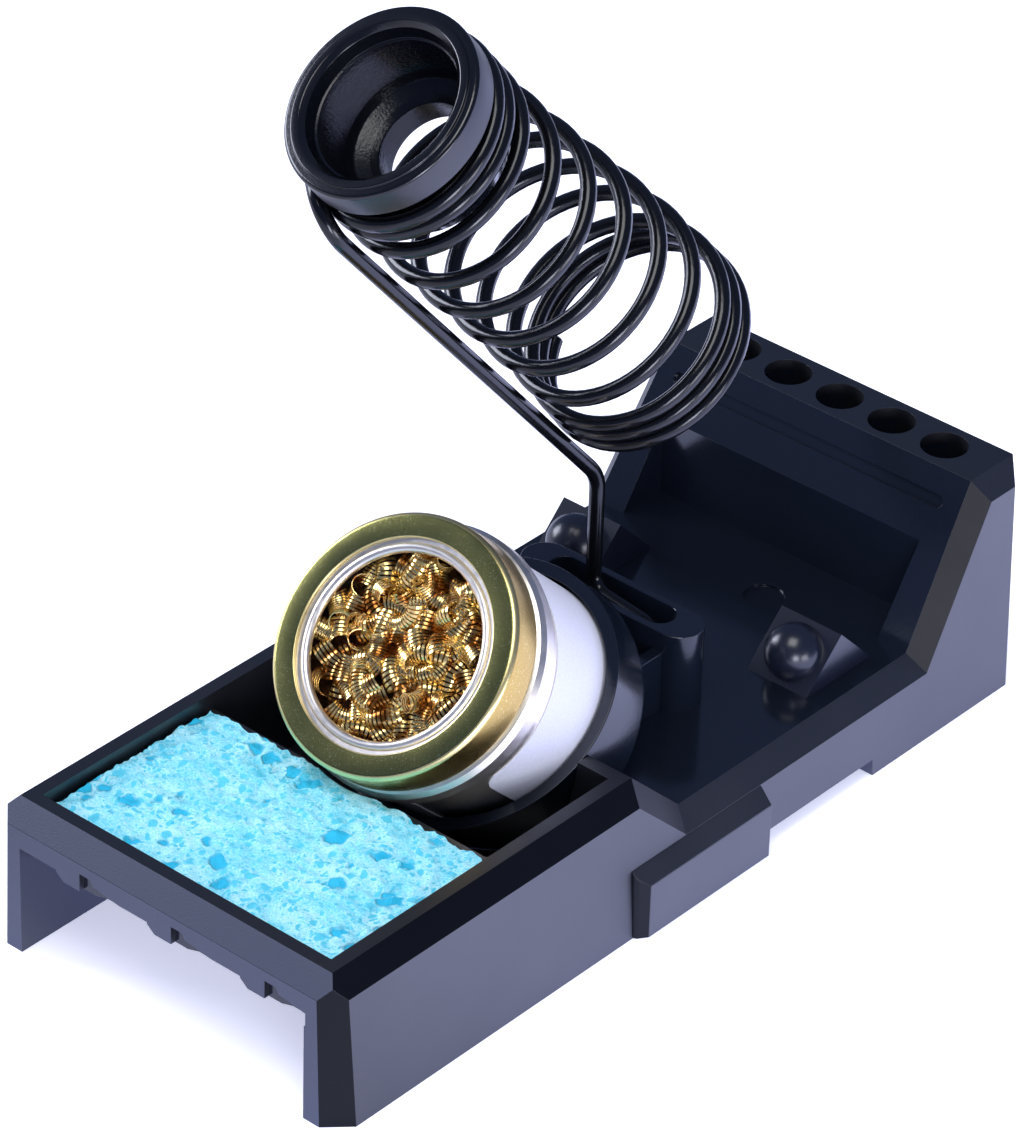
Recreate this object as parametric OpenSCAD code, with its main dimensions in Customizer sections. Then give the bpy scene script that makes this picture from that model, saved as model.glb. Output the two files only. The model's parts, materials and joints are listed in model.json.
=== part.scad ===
// Soldering iron station: a stepped moulded base with a sponge tray, a tin of
// brass wool leaning in a round cup, a rack of tip holes and a wire coil holder
// that ends in a guide funnel.
// Millimetres, +Z up, front of the base towards -Y, origin at the middle of the
// footprint. Depths named "from the front" start at the front face of the base.

/* [Base] */
// length of the moulded base, front to back
base_len = 183; // [181:0.5:188]
// width of the base at the table, side feet left out
base_w = 80.8; // [80:0.2:84]
// inward lean of the side walls, mm per mm of height
side_draft = 0.056; // [0.03:0.002:0.07]
// height of the rim round the sponge tray
rim_z = 29.5; // [29:0.25:31]
// height of the low deck behind the tray
deck_z = 17.9; // [17:0.1:18.5]
// height of the tip rack at the back
rack_z = 45.3; // [44:0.1:50]
// length of the front section at rim height
front_len = 77.5; // [77:0.1:78.5]
// run of the slope from the rim down to the deck
front_run = 12.25; // [11:0.25:14]
// length from the toe of the rack slope to the back
rack_len = 30.2; // [29:0.1:31]
// run of the rack slope
rack_run = 17.85; // [17:0.05:18.5]
// sideways inset of the edge chamfer
edge_in = 3.4; // [2.5:0.1:3.8]
// height of the edge chamfer
edge_drop = 3.9; // [3:0.1:4.2]
// size of the upright corner chamfers at the table
corner_cut = 4.3; // [3:0.1:5]
// lean of the corner chamfers, degrees
corner_lean = 1.3; // [0:0.1:2]
// thickness of the side walls at the table
wall_t = 7.9; // [7:0.1:8.5]
// thickness of the top skins and the back wall
skin_t = 2.2; // [1.8:0.1:2.6]

/* [Front Opening] */
// height of the opening under the front beam
beam_under_z = 21.7; // [21.4:0.1:22.5]
// spacing of the tabs under the beam
tab_pitch = 21.1; // [19:0.1:22]
// reach of a tab to the left of its middle
tab_left = 2.8; // [2.4:0.1:3.4]
// reach of a tab to the right of its middle
tab_right = 10; // [9.4:0.1:10.4]
// sideways run of a tab's left corner
tab_corner = 1.7; // [1:0.1:2]
// sideways run of a tab's long right corner
tab_slant = 4.4; // [3.8:0.1:5]
// left side of the scoop in a tab
scoop_x = 2.7; // [2.3:0.1:3]
// width of that scoop at its top
scoop_w = 2.4; // [2:0.1:2.8]
// height of that scoop above the beam's lower edge
scoop_h = 1.9; // [1.4:0.1:2.2]
// depth of that scoop, front to back
scoop_d = 1; // [0.8:0.1:1.6]
// depth of a tab below the beam
tab_drop = 1.7; // [1.2:0.1:2]
// thickness of a tab, front to back
tab_t = 4.5; // [3:0.1:5]

/* [Sponge Tray] */
// half width of the tray pocket
tray_hw = 32.9; // [32.4:0.1:33.4]
// thickness of the wall in front of the tray
tray_wall = 6; // [5.5:0.1:6.5]
// height of the tray floor
tray_z = 20; // [19.8:0.1:20.5]
// front face of the rib behind the sponge, from the front
rib_y = 45.9; // [45.6:0.1:46.4]
// thickness of that rib
rib_t = 1.5; // [1.2:0.1:2]
// height of the top of that rib
rib_z = 26; // [24:0.5:28]
// height of the floor of the well under the tin
well_z = 8; // [7:0.5:10]
// width of the ridge behind the well
ridge_t = 2.8; // [2.4:0.1:3]
// thickness of the sponge
sponge_t = 7.2; // [6:0.1:8]
// gap between the sponge and the tray floor or the rib
sponge_gap = 0.3; // [0.2:0.05:0.6]
// gap between the sponge and the front tray wall
sponge_front_gap = 0.8; // [0.75:0.05:1.2]
// gap between the sponge and the left and right tray walls
sponge_side_gap = 0.9; // [0.5:0.1:2]

/* [Tin Cup] */
// forward lean of the tin and its cup, degrees
tin_tilt = 46.5; // [46:0.1:47.5]
// centre of the lid face, from the front
lid_y = 56.3; // [56:0.1:57]
// height of the centre of the lid face
lid_z = 50.4; // [50:0.1:51.5]
// inner radius of the cup
cup_r = 23.7; // [23.6:0.05:24.2]
// wall thickness of the cup
cup_t = 2.3; // [2:0.1:2.6]
// tilt of the plane that ends the cup, degrees
cup_rim_tilt = 33; // [31:0.5:35]
// depth of that plane's reference point, from the front
cup_rim_y = 77.5; // [77:0.1:78.5]
// height of that plane's reference point
cup_rim_z = 30.3; // [30:0.1:31.5]

/* [Tin] */
// length of the tin, lid face to bottom
tin_len = 40; // [38.5:0.1:40.2]
// outer radius of the can
can_r = 23; // [22.6:0.05:23.1]
// sheet thickness of the can
can_t = 0.6; // [0.4:0.05:0.8]
// outer radius of the lid skirt
lid_r = 23.55; // [23.3:0.05:23.8]
// length of the lid skirt
lid_len = 7.2; // [6.5:0.1:7.6]
// sheet thickness of the lid
lid_t = 0.6; // [0.4:0.05:0.7]
// inner radius of the lid's face ring
lid_open_r = 19; // [18:0.1:20]
// radius of the opening in the pale inner ring
ring_open_r = 16.5; // [15:0.1:17.5]
// outer radius of the bead on the can
bead_r = 24.4; // [24.1:0.05:24.7]
// length of that bead
bead_len = 5.4; // [5:0.1:6]
// thickness of the paper band
label_t = 0.2; // [0.1:0.05:0.25]
// gap between the bead and the paper band
label_gap = 2.4; // [1.5:0.1:4]
// gap between the paper band and the can's bottom
label_foot = 1.3; // [0.5:0.1:3]
// part of the circle that the paper band covers, degrees
label_span = 325; // [280:5:340]
// where the paper band starts round the can, degrees
label_turn = -35; // [-60:5:-20]

/* [Rack] */
// radius of a tip hole
tip_r = 4.4; // [4:0.1:4.6]
// distance of the outer tip holes from the side of the rack
tip_side = 13.86; // [13.4:0.02:15]
// distance from the tip holes to the back
tip_back = 6.2; // [6:0.1:6.6]
// depth of a tip hole
tip_depth = 16; // [12:0.5:20]
// wall of a tip well
tip_wall = 1.2; // [1:0.1:1.6]
// half width of the recess under the rack
alcove_hw = 29.8; // [29:0.1:30.4]
// height where the recess cuts the rack slope
alcove_z = 34; // [32:0.1:35]
// height of the groove across the rack slope
groove_z = 40.4; // [39.5:0.1:41.5]
// width of that groove
groove_w = 2.4; // [1.5:0.1:3]
// depth of that groove
groove_d = 1; // [0.5:0.1:1.4]

/* [Deck] */
// middle of the post, as a part of the deck's length from its front
post_part = 0.383; // [0.377:0.001:0.4]
// half length of the post
post_hl = 19.9; // [18.5:0.1:21]
// thickness of the post
post_w = 9.2; // [9:0.1:10]
// height of the top of the post
post_z = 33.7; // [33:0.1:35]
// half length of the slot in the post
slot_hl = 13.9; // [13.6:0.1:15]
// width of that slot
slot_w = 6; // [5.9:0.05:6.4]
// height of the floor of that slot
slot_z = 29.2; // [28.5:0.1:29.3]
// height of the floor of the deep pocket at the slot's end
pocket_z = 19.1; // [18.8:0.1:20]
// distance of the two webs from the middle
web_x = 14.5; // [12:0.5:16]
// thickness of a web
web_t = 2.4; // [2:0.1:3]
// height of a web where it meets the post
web_z = 30; // [27:0.5:32]
// distance of a rest block from the side of the deck
rest_side = 7.1; // [6:0.1:8]
// length of a rest block
rest_w = 13.5; // [12:0.1:14]
// ridge of a rest block, from the toe of the rack slope
rest_back = 14.2; // [13:0.1:15.5]
// height of that ridge
rest_z = 27; // [25.5:0.1:28]
// radius of the dome on a rest block
dome_r = 5.4; // [4.8:0.1:5.6]
// radius of the round recess in the deck
dimple_r = 3.8; // [3:0.1:4.5]
// depth of that recess
dimple_d = 0.5; // [0.3:0.1:0.8]
// distance of that recess from the middle
dimple_x = 6.3; // [4:0.1:8]
// distance of that recess from the toe of the rack slope
dimple_back = 3.3; // [3:0.1:6]

/* [Side Feet] */
// front end of a side foot, from the front
foot_y = 73.4; // [72:0.1:76]
// length of a side foot
foot_len = 35; // [32:0.5:38]
// outward reach of a side foot
foot_t = 1.9; // [1.6:0.1:2.4]
// gap between the front of a side foot and the arch under the side wall
arch_gap = 3; // [2:0.5:6]
// width of the slanting facet at the front of a side foot
facet_w = 1.2; // [0.8:0.1:1.6]
// length of that facet
facet_len = 2.6; // [2:0.1:3.4]
// height of the arch under the side walls
arch_z = 3.3; // [2.5:0.1:4]
// back end of that arch, from the front
arch_end = 139.7; // [136:0.1:142]

/* [Wire Holder] */
// wire diameter
wire_d = 2.9; // [2.6:0.05:2.95]
// sideways turn of the holder on its leg, degrees
holder_turn = -8; // [-8.2:0.1:-6]
// distance of the leg from the middle
leg_x = -5.3; // [-6:0.1:-4.5]
// leg behind the middle of the post
leg_off = 1.2; // [0.8:0.1:1.2]
// length of the tail that lies in the slot
tail_len = 16.6; // [16:0.1:17]
// height of the tail's centre line
tail_z = 31.1; // [31:0.1:31.4]
// height of the bend where the leg meets the arm
elbow_z = 54.7; // [54:0.1:54.9]
// forward reach of the funnel mouth from the leg
funnel_reach = 52.15; // [51:0.05:54]
// sideways shift of the funnel mouth from the leg
funnel_side = 1.17; // [0.5:0.05:1.5]
// height of the centre of the funnel mouth
funnel_z = 147.4; // [146:0.1:150]
// forward lean of the coil axis, degrees
coil_tilt = 38.9; // [38.5:0.1:39.5]
// centre line radius of the turns at the funnel
coil_front_r = 17; // [16.9:0.05:17.4]
// growth of the turn radius along the coil
coil_grow = 2.3; // [1.8:0.1:2.3]
// upward bow of the coil's middle line
coil_bow = 4.1; // [4:0.1:4.8]
// gap between the mouth and where the turns begin to grow
grow_gap = 20; // [16:1:24]
// length over which the turns grow
grow_run = 78; // [74:1:80]
// gap between the mouth and where the bow begins
bow_gap = 12; // [10:1:14]
// length over which the bow builds up
bow_run = 70; // [66:1:74]
// step of the first turn past its own start
first_step = 3.2; // [3.1:0.05:3.5]
// pitch of the close turns at the funnel
front_pitch = 5; // [4.6:0.05:5.4]
// pitch of the open turns
open_pitch = 11.3; // [10.8:0.05:11.6]
// pitch of the close turns at the far end
rear_pitch = 3.5; // [3.4:0.05:3.8]
// where the pitch opens, in turns
open_at = 1.74; // [1.6:0.02:1.8]
// where the pitch closes, in turns
close_at = 7.63; // [7.4:0.01:7.8]
// end of the coil, in turns
coil_end = 10.44; // [10.2:0.02:10.6]
// inside radius of the small bends of the wire
small_bend = 3.5; // [3.2:0.1:4]
// radius of the bend at the elbow
elbow_bend = 8; // [6:0.5:9]
// distance of the arm below the coil axis at the funnel
crook_drop = 21; // [20.8:0.05:21.6]
// radius of the bend from the arm into the coil
crook_bend = 6.9; // [6.5:0.1:7.2]

/* [Funnel] */
// outer radius of the funnel's rim
rim_r = 17.8; // [17.6:0.05:18.4]
// length of that rim along the axis
rim_len = 6.2; // [5.6:0.1:6.25]
// width of the lowered edge round the mouth
lip_w = 1.6; // [1.2:0.1:2]
// radius of the bowl at its mouth
bowl_r = 13.9; // [13.4:0.1:14.2]
// depth of the bowl
bowl_depth = 14.5; // [13:0.5:16]
// radius of the hole through the funnel
hole_r = 8.2; // [7.2:0.1:8.8]
// length of the whole funnel
funnel_len = 21; // [19.5:0.5:22]
// length of the neck that the coil grips, with the rim
neck_len = 16; // [14:0.5:16.5]
// grip of the coil on the funnel's neck
neck_grip = 0.03; // [0.01:0.01:0.05]
// gap between the funnel's rim and the coil's wire
coil_gap = 0.2; // [0.15:0.05:0.3]
// slant of the edge round the bowl's mouth
bowl_edge = 0.9; // [0.6:0.1:1.1]
// width of each step at the bottom of the bowl
bowl_step = 1.2; // [0.8:0.1:1.4]
// narrowing of the neck behind the coil
neck_taper = 2.5; // [2:0.1:3]

/* [Hidden] */
// how finely round faces are drawn
$fn = 96;
// sides of the drawn coil wire
wire_n = 10;
// drawn steps in one turn of the coil
turn_n = 30;
// small overlap that lets a cut leave a face cleanly
over = 1;
// gap round the cup where it passes the base
cup_gap = 0.15;
// running gap between a moving piece and its seat
run_gap = 0.3;

front_y = -base_len / 2;
back_y = base_len / 2;
wire_r = wire_d / 2;
rim_back_y = front_len - ridge_t;
cup_out_r = cup_r + cup_t;
cup_floor_s = tin_len + run_gap;
cup_end_s = cup_floor_s + cup_t;
bead_s = lid_len + run_gap + 0.4;
label_s = bead_s + bead_len + label_gap;
label_len = tin_len - label_foot - label_s;
foot_top_slope = edge_drop / edge_in;
rest_run = rest_z - deck_z;
deck_front = front_len + front_run;
deck_back = base_len - rack_len;
post_y = deck_front + post_part * (deck_back - deck_front);
rest_y = deck_back - rest_back;
leg_y = post_y + leg_off;
dimple_y = deck_back - dimple_back;

// half width of the side walls at a height
function half_w(z) = base_w / 2 - side_draft * z;

tip_pitch = (half_w(rack_z) - tip_side) / 2;
rest_x = half_w(deck_z) - rest_side - rest_w;

// side profile at the inner edge of the chamfer, as depth and height
top_line = [
    [edge_in, rim_z],
    [front_len, rim_z],
    [front_len + front_run, deck_z],
    [base_len - rack_len, deck_z],
    [base_len - rack_len + rack_run, rack_z],
    [base_len, rack_z]
];

// angle of one length of the side profile
function run_angle(i) = atan2(top_line[i + 1][1] - top_line[i][1], top_line[i + 1][0] - top_line[i][0]);

// depth of a profile corner at the outer edge of the chamfer
function outer_y(i) =
    i == 0 ? 0 :
    i == 5 ? base_len :
    top_line[i][0] + edge_drop * tan((run_angle(i - 1) + run_angle(i)) / 2);
// height of that corner
function outer_z(i) = top_line[i][1] - edge_drop;

function inner_pt(i, s) = [s * (half_w(outer_z(i)) - edge_in), front_y + top_line[i][0], top_line[i][1]];
function outer_pt(i, s) = [s * half_w(outer_z(i)), front_y + outer_y(i), outer_z(i)];
function floor_pt(i, s) = [s * half_w(0), front_y + outer_y(i), 0];

// corners, six to a row: right inner, left inner, right outer, left outer, right floor, left floor
body_pts = concat(
    [for (i = [0:5]) inner_pt(i, 1)],
    [for (i = [0:5]) inner_pt(i, -1)],
    [for (i = [0:5]) outer_pt(i, 1)],
    [for (i = [0:5]) outer_pt(i, -1)],
    [for (i = [0:5]) floor_pt(i, 1)],
    [for (i = [0:5]) floor_pt(i, -1)]
);

body_faces = concat(
    [for (i = [0:4]) [i, 6 + i, 7 + i, i + 1]],
    [for (i = [0:4]) [12 + i, i, i + 1, 13 + i]],
    [for (i = [0:4]) [6 + i, 18 + i, 19 + i, 7 + i]],
    [for (i = [0:4]) [24 + i, 12 + i, 13 + i, 25 + i]],
    [for (i = [0:4]) [18 + i, 30 + i, 31 + i, 19 + i]],
    [for (i = [0:4]) [30 + i, 24 + i, 25 + i, 31 + i]],
    [[0, 12, 18, 6], [12, 24, 30, 18], [5, 11, 23, 17], [17, 23, 35, 29]]
);

// a side view shape, as depth from the front and height, pulled out to both sides
module side_prism(hw) {
    translate([-hw, front_y, 0])
        rotate([90, 0, 90])
            linear_extrude(2 * hw)
                children();
}

// place along the axis of the tin: the lid face at z = 0, the tin towards -z
module tin_frame() {
    translate([0, front_y + lid_y, lid_z])
        rotate([tin_tilt, 0, 0])
            children();
}

// one upright corner cut
module corner_knife(sx, sy) {
    translate([sx * half_w(0), sy * base_len / 2, 0])
        rotate([0, 0, sx * sy * -45])
            translate([0, sy * -corner_cut / sqrt(2), 0])
                rotate([sy * corner_lean, 0, 0])
                    translate([-corner_cut * 2, sy > 0 ? 0 : -corner_cut * 3, -over])
                        cube([corner_cut * 4, corner_cut * 3, rack_z + over * 3]);
}

// space under the skins, as a side view
module hollow_view() {
    well_under = well_z - skin_t;
    deck_under = deck_z - skin_t;
    tray_under = tray_z - skin_t;
    wall_back = rim_back_y + skin_t;
    alcove_y = alcove_depth();
    rack_under = rack_z - skin_t;
    polygon([
        [-over, -over],
        [-over, beam_under_z],
        [tray_wall - skin_t, beam_under_z],
        [tray_wall - skin_t, tray_under],
        [rib_y - skin_t, tray_under],
        [rib_y - skin_t, well_under],
        [wall_back, well_under],
        [wall_back, deck_under],
        [alcove_y + skin_t, deck_under],
        [alcove_y + skin_t, alcove_z - skin_t],
        [slope_y(rack_under) + skin_t * 1.6, rack_under],
        [base_len - skin_t, rack_under],
        [base_len - skin_t, -over]
    ]);
}

// depth of the rack slope at a height
function slope_y(z) = base_len - rack_len + (z - deck_z) * rack_run / (rack_z - deck_z);
// depth of the wall at the back of the recess
function alcove_depth() = slope_y(alcove_z);

// groove across the rack slope, with round ends
module rack_groove() {
    slope_deg = atan2(rack_z - deck_z, rack_run);
    end_x = alcove_hw + 1.4;
    translate([0, front_y + slope_y(groove_z), groove_z])
        rotate([slope_deg, 0, 0])
            translate([0, 0, -groove_d])
                linear_extrude(groove_d + over * 2)
                    stadium(end_x, groove_w);
}

// three rounded tabs under the front beam, each scooped out on its right
module beam_tabs() {
    low_z = beam_under_z - tab_drop;
    side_z = beam_under_z - tab_drop / 5;
    for (k = [-1:1])
        translate([k * tab_pitch, 0, 0])
            difference() {
                translate([0, front_y + tab_t, 0])
                    rotate([90, 0, 0])
                        linear_extrude(tab_t)
                            polygon([
                                [-tab_left, beam_under_z + over / 2],
                                [-tab_left, side_z],
                                [-tab_left + tab_corner, low_z],
                                [tab_right - tab_slant, low_z],
                                [tab_right, side_z],
                                [tab_right, beam_under_z + over / 2]
                            ]);
                tab_scoop();
            }
}

// the scoop in a tab and in the beam above it
module tab_scoop() {
    low_z = beam_under_z - tab_drop - over;
    translate([0, front_y + scoop_d, 0])
        rotate([90, 0, 0])
            linear_extrude(scoop_d + over)
                polygon([
                    [scoop_x, low_z],
                    [scoop_x, beam_under_z + scoop_h],
                    [scoop_x + scoop_w, beam_under_z + scoop_h],
                    [scoop_x + scoop_w * 1.3, beam_under_z + scoop_h * 0.4],
                    [tab_right + tab_corner, beam_under_z],
                    [tab_right + tab_corner, low_z]
                ]);
}

module base_shell() {
    color("#16161b")
        union() {
            difference() {
                polyhedron(points = body_pts, faces = body_faces);
                for (sx = [-1, 1])
                    for (sy = [-1, 1])
                        corner_knife(sx, sy);
                side_prism(half_w(0) - wall_t)
                    hollow_view();
                translate([-tray_hw, front_y + tray_wall, tray_z])
                    cube([2 * tray_hw, rib_y - tray_wall, rim_z]);
                translate([-tray_hw, front_y + rib_y - over, rib_z])
                    cube([2 * tray_hw, rib_t + 2 * over, rim_z]);
                translate([-tray_hw, front_y + rib_y + rib_t, well_z])
                    cube([2 * tray_hw, rim_back_y - rib_y - rib_t, rim_z]);
                tin_frame()
                    translate([0, 0, -cup_end_s - cup_gap])
                        cylinder(r = cup_out_r + cup_gap, h = cup_end_s);
                side_prism(alcove_hw)
                    polygon([
                        [base_len - rack_len - over, deck_z],
                        [alcove_depth(), deck_z],
                        [alcove_depth(), alcove_z],
                        [slope_y(alcove_z) - over, alcove_z]
                    ]);
                rack_groove();
                for (k = [-2:2])
                    translate([k * tip_pitch, back_y - tip_back, rack_z - tip_depth])
                        cylinder(r = tip_r, h = tip_depth + over);
                translate([-base_w / 2 - over, front_y + foot_y + arch_gap, -over])
                    cube([base_w + 2 * over, arch_end - foot_y - arch_gap, arch_z + over]);
                for (k = [-1:1])
                    translate([k * tab_pitch, 0, 0])
                        tab_scoop();
                translate([dimple_x, front_y + dimple_y, deck_z - dimple_d])
                    cylinder(r = dimple_r, h = over * 2);
            }
            beam_tabs();
        }
}

// five blind wells under the rack, each on its own
module tip_wells() {
    color("#16161b")
        for (k = [-2:2])
            difference() {
                intersection() {
                    translate([k * tip_pitch, back_y - tip_back, rack_z - tip_depth - skin_t])
                        cylinder(r = tip_r + tip_wall, h = tip_depth + skin_t);
                    side_prism(half_w(0) - wall_t)
                        hollow_view();
                }
                translate([k * tip_pitch, back_y - tip_back, rack_z - tip_depth])
                    cylinder(r = tip_r, h = tip_depth);
            }
}

module side_foot(s) {
    reach = half_w(0) + foot_t;
    low_edge = deck_z - edge_drop;
    drop = (reach - half_w(low_edge)) * foot_top_slope;
    color("#16161b")
        intersection() {
            translate([0, front_y + foot_y + foot_len, 0])
                rotate([90, 0, 0])
                    linear_extrude(foot_len)
                        polygon([
                            [s * half_w(0), 0],
                            [s * reach, 0],
                            [s * reach, low_edge - drop],
                            [s * half_w(low_edge), low_edge]
                        ]);
            linear_extrude(rack_z)
                polygon([
                    [s * (half_w(deck_z) - over), front_y + foot_y],
                    [s * half_w(0), front_y + foot_y + facet_len / 6],
                    [s * (reach - facet_w), front_y + foot_y + facet_len / 3],
                    [s * reach, front_y + foot_y + facet_len],
                    [s * reach, front_y + foot_y + foot_len],
                    [s * (half_w(deck_z) - over), front_y + foot_y + foot_len]
                ]);
        }
}

module side_foot_left() {
    side_foot(-1);
}

module side_foot_right() {
    side_foot(1);
}

module tin_cup() {
    saddle_w = 20;
    saddle_len = 11;
    color("#16161b")
        difference() {
            union() {
                tin_frame()
                    translate([0, 0, -cup_end_s])
                        cylinder(r = cup_out_r, h = cup_end_s);
                translate([-saddle_w / 2, front_y + rib_y + rib_t + 2, well_z])
                    cube([saddle_w, saddle_len, cup_t * 2]);
            }
            tin_frame()
                translate([0, 0, -cup_floor_s])
                    cylinder(r = cup_r, h = cup_end_s + over);
            translate([0, front_y + cup_rim_y, cup_rim_z])
                rotate([cup_rim_tilt, 0, 0])
                    translate([-2 * cup_out_r, -3 * cup_out_r, 0])
                        cube([4 * cup_out_r, 6 * cup_out_r, 3 * cup_out_r]);
            tin_frame()
                translate([0, 0, -cup_end_s - 2 * cup_out_r])
                    cylinder(r = cup_out_r, h = 2 * cup_out_r);
        }
}

// a flat bar along x with round ends
module stadium(half_len, width) {
    flat = half_len - width / 2;
    for (s = [-1, 1])
        translate([s * flat, 0])
            circle(d = width);
    square([2 * flat, width], center = true);
}

module holder_post() {
    color("#16161b")
        translate([0, front_y + post_y, 0])
            difference() {
                translate([0, 0, deck_z])
                    linear_extrude(post_z - deck_z)
                        stadium(post_hl, post_w);
                translate([0, 0, slot_z])
                    linear_extrude(post_z)
                        stadium(slot_hl, slot_w);
                translate([slot_hl - slot_w, -slot_w / 2, pocket_z])
                    cube([slot_w / 2, slot_w, post_z]);
                translate([slot_hl - slot_w / 2, 0, pocket_z])
                    cylinder(d = slot_w, h = post_z);
            }
}

// depth of the flat underside of the cup at a height
function cup_under_y(z) =
    lid_y + cup_end_s * sin(tin_tilt)
    + (z - lid_z + cup_end_s * cos(tin_tilt)) * cos(tin_tilt) / sin(tin_tilt);

module post_webs() {
    face_y = post_y - post_w / 2;
    lean = (rim_z - deck_z) / front_run;
    lean_y = (front_len + front_run - cup_under_y(deck_z)) / (1 + lean * cos(tin_tilt) / sin(tin_tilt));
    color("#16161b")
        for (s = [-1, 1])
            translate([s * web_x - web_t / 2, front_y, 0])
                rotate([90, 0, 90])
                    linear_extrude(web_t)
                        polygon([
                            [front_len + front_run - lean_y, deck_z + lean_y * lean],
                            [front_len + front_run, deck_z],
                            [face_y, deck_z],
                            [face_y, web_z],
                            [cup_under_y(web_z), web_z]
                        ]);
}

module rest_block(s) {
    mid_x = rest_x + rest_w / 2;
    color("#16161b")
        intersection() {
            union() {
                translate([s > 0 ? rest_x : -rest_x - rest_w, front_y, 0])
                    rotate([90, 0, 90])
                        linear_extrude(rest_w)
                            polygon([
                                [rest_y - rest_run, deck_z],
                                [rest_y + rest_run, deck_z],
                                [rest_y, rest_z]
                            ]);
                translate([s * mid_x, front_y + rest_y - rest_run / 2, deck_z + rest_run / 2])
                    sphere(r = dome_r, $fn = 64);
            }
            translate([s > 0 ? 0 : -base_w / 2, front_y + post_y, deck_z])
                cube([base_w / 2, rack_len * 2, rest_z]);
        }
}

module rest_block_left() {
    rest_block(-1);
}

module rest_block_right() {
    rest_block(1);
}

module sponge() {
    sponge_hw = tray_hw - sponge_side_gap;
    sponge_y = tray_wall + sponge_front_gap;
    color("#5fd8f2")
        difference() {
            translate([-sponge_hw, front_y + sponge_y, tray_z + sponge_gap])
                cube([2 * sponge_hw, rib_y - sponge_y - sponge_gap, sponge_t]);
            tin_frame()
                translate([0, 0, -tin_len])
                    cylinder(r = bead_r + 2 * run_gap, h = 2 * tin_len);
        }
}

// a ring made by turning a band: radii in and out, and the start and length behind the lid face
module tin_band(r_in, r_out, s, len) {
    translate([0, 0, -s - len])
        difference() {
            cylinder(r = r_out, h = len);
            translate([0, 0, -over])
                cylinder(r = r_in, h = len + 2 * over);
        }
}

module tin_lid() {
    edge = 1.1;
    color("#8f8a45")
        tin_frame()
            rotate_extrude()
                polygon(concat(
                    [[lid_open_r, -lid_t], [lid_open_r, 0]],
                    [for (a = [90:-15:0]) [lid_r - edge + edge * cos(a), -edge + edge * sin(a)]],
                    [[lid_r, -lid_len], [lid_r - lid_t, -lid_len], [lid_r - lid_t, -lid_t]]
                ));
}

module tin_inner_ring() {
    roll = 0.9;
    color("#d9d8d4")
        tin_frame()
            union() {
                tin_band(ring_open_r + roll, lid_open_r + 1.2, lid_t, lid_t);
                translate([0, 0, -lid_t - lid_t])
                    rotate_extrude()
                        translate([ring_open_r + roll, 0])
                            circle(r = roll, $fn = 24);
            }
}

// outer radius of the can's neck inside the lid
neck_out_r = lid_r - lid_t - run_gap;

module tin_can() {
    neck_s = 3 * lid_t + run_gap;
    bead = bead_r - can_r;
    color("#c9c7c0")
        tin_frame()
            rotate_extrude()
                polygon([
                    [0, -tin_len],
                    [can_r, -tin_len],
                    [can_r, -bead_s - bead_len],
                    [bead_r - bead / 2, -bead_s - bead_len + bead / 3],
                    [bead_r, -bead_s - bead_len + bead],
                    [bead_r, -bead_s - bead],
                    [bead_r - bead / 2, -bead_s - bead / 3],
                    [neck_out_r, -bead_s],
                    [neck_out_r, -neck_s],
                    [neck_out_r - can_t, -neck_s],
                    [neck_out_r - can_t, -tin_len + can_t],
                    [0, -tin_len + can_t]
                ]);
}

module tin_label() {
    color("#f2f2f6")
        tin_frame()
            rotate([0, 0, label_turn])
                translate([0, 0, -label_s - label_len])
                    rotate_extrude(angle = label_span)
                        translate([can_r, 0])
                            square([label_t, label_len]);
}

module brass_wool() {
    wool_r = neck_out_r - can_t - run_gap;
    shoulder_s = 3 * lid_t + run_gap + 0.5;
    dome = 1.4;
    nose_r = ring_open_r - 0.6;
    color("#b98a35")
        tin_frame()
            rotate_extrude()
                polygon(concat(
                    [
                        [0, -tin_len + can_t],
                        [wool_r, -tin_len + can_t],
                        [wool_r, -shoulder_s],
                        [nose_r, -shoulder_s]
                    ],
                    [for (k = [0:6]) [nose_r * (1 - k / 6), -lid_t * 2 - dome * pow(1 - k / 6, 2)]]
                ));
}

// ---- wire holder, drawn on its leg axis and then turned ----

module holder_frame() {
    translate([leg_x, front_y + leg_y, 0])
        rotate([0, 0, holder_turn])
            children();
}

// direction of the coil axis out of the funnel mouth, and the upward direction across it
axis_d = [0, -sin(coil_tilt), cos(coil_tilt)];
axis_up = [0, cos(coil_tilt), sin(coil_tilt)];
mouth = [funnel_side, -funnel_reach, funnel_z];

// ramp that has reached x minus half its width once past it
function ramp(x, w) = x < 0 ? 0 : x < w ? x * x / (2 * w) : x - w / 2;
function smooth(u) = u <= 0 ? 0 : u >= 1 ? 1 : u * u * (3 - 2 * u);

// distance behind the mouth after a number of turns
function turn_s(t) = ring_s
    + first_step * smooth((t + 0.25) / 0.55)
    + front_pitch * ramp(t - 0.5, 0.4)
    + (open_pitch - front_pitch) * ramp(t - open_at, 0.5)
    - (open_pitch - rear_pitch) * ramp(t - close_at, 0.5);

// centre line radius and bow at a distance behind the mouth
function turn_r(s) =
    s < grow_gap ? coil_front_r :
    coil_front_r + coil_grow * pow((s - grow_gap) / grow_run, 1.3);
function turn_bow(s) = coil_bow * smooth((s - bow_gap) / bow_run);

ring_s = rim_len + wire_r + coil_gap;
crook_deg = acos(coil_front_r / crook_drop);
coil_start = (90 + crook_deg) / 360 - 1;

function ring_pt(s, r, bow, a) = mouth - axis_d * s + axis_up * (bow + r * sin(a)) + [r * cos(a), 0, 0];
function coil_pt(t) = ring_pt(turn_s(t), turn_r(turn_s(t)), turn_bow(turn_s(t)), -360 * t);
function unit(v) = v / norm(v);
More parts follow.
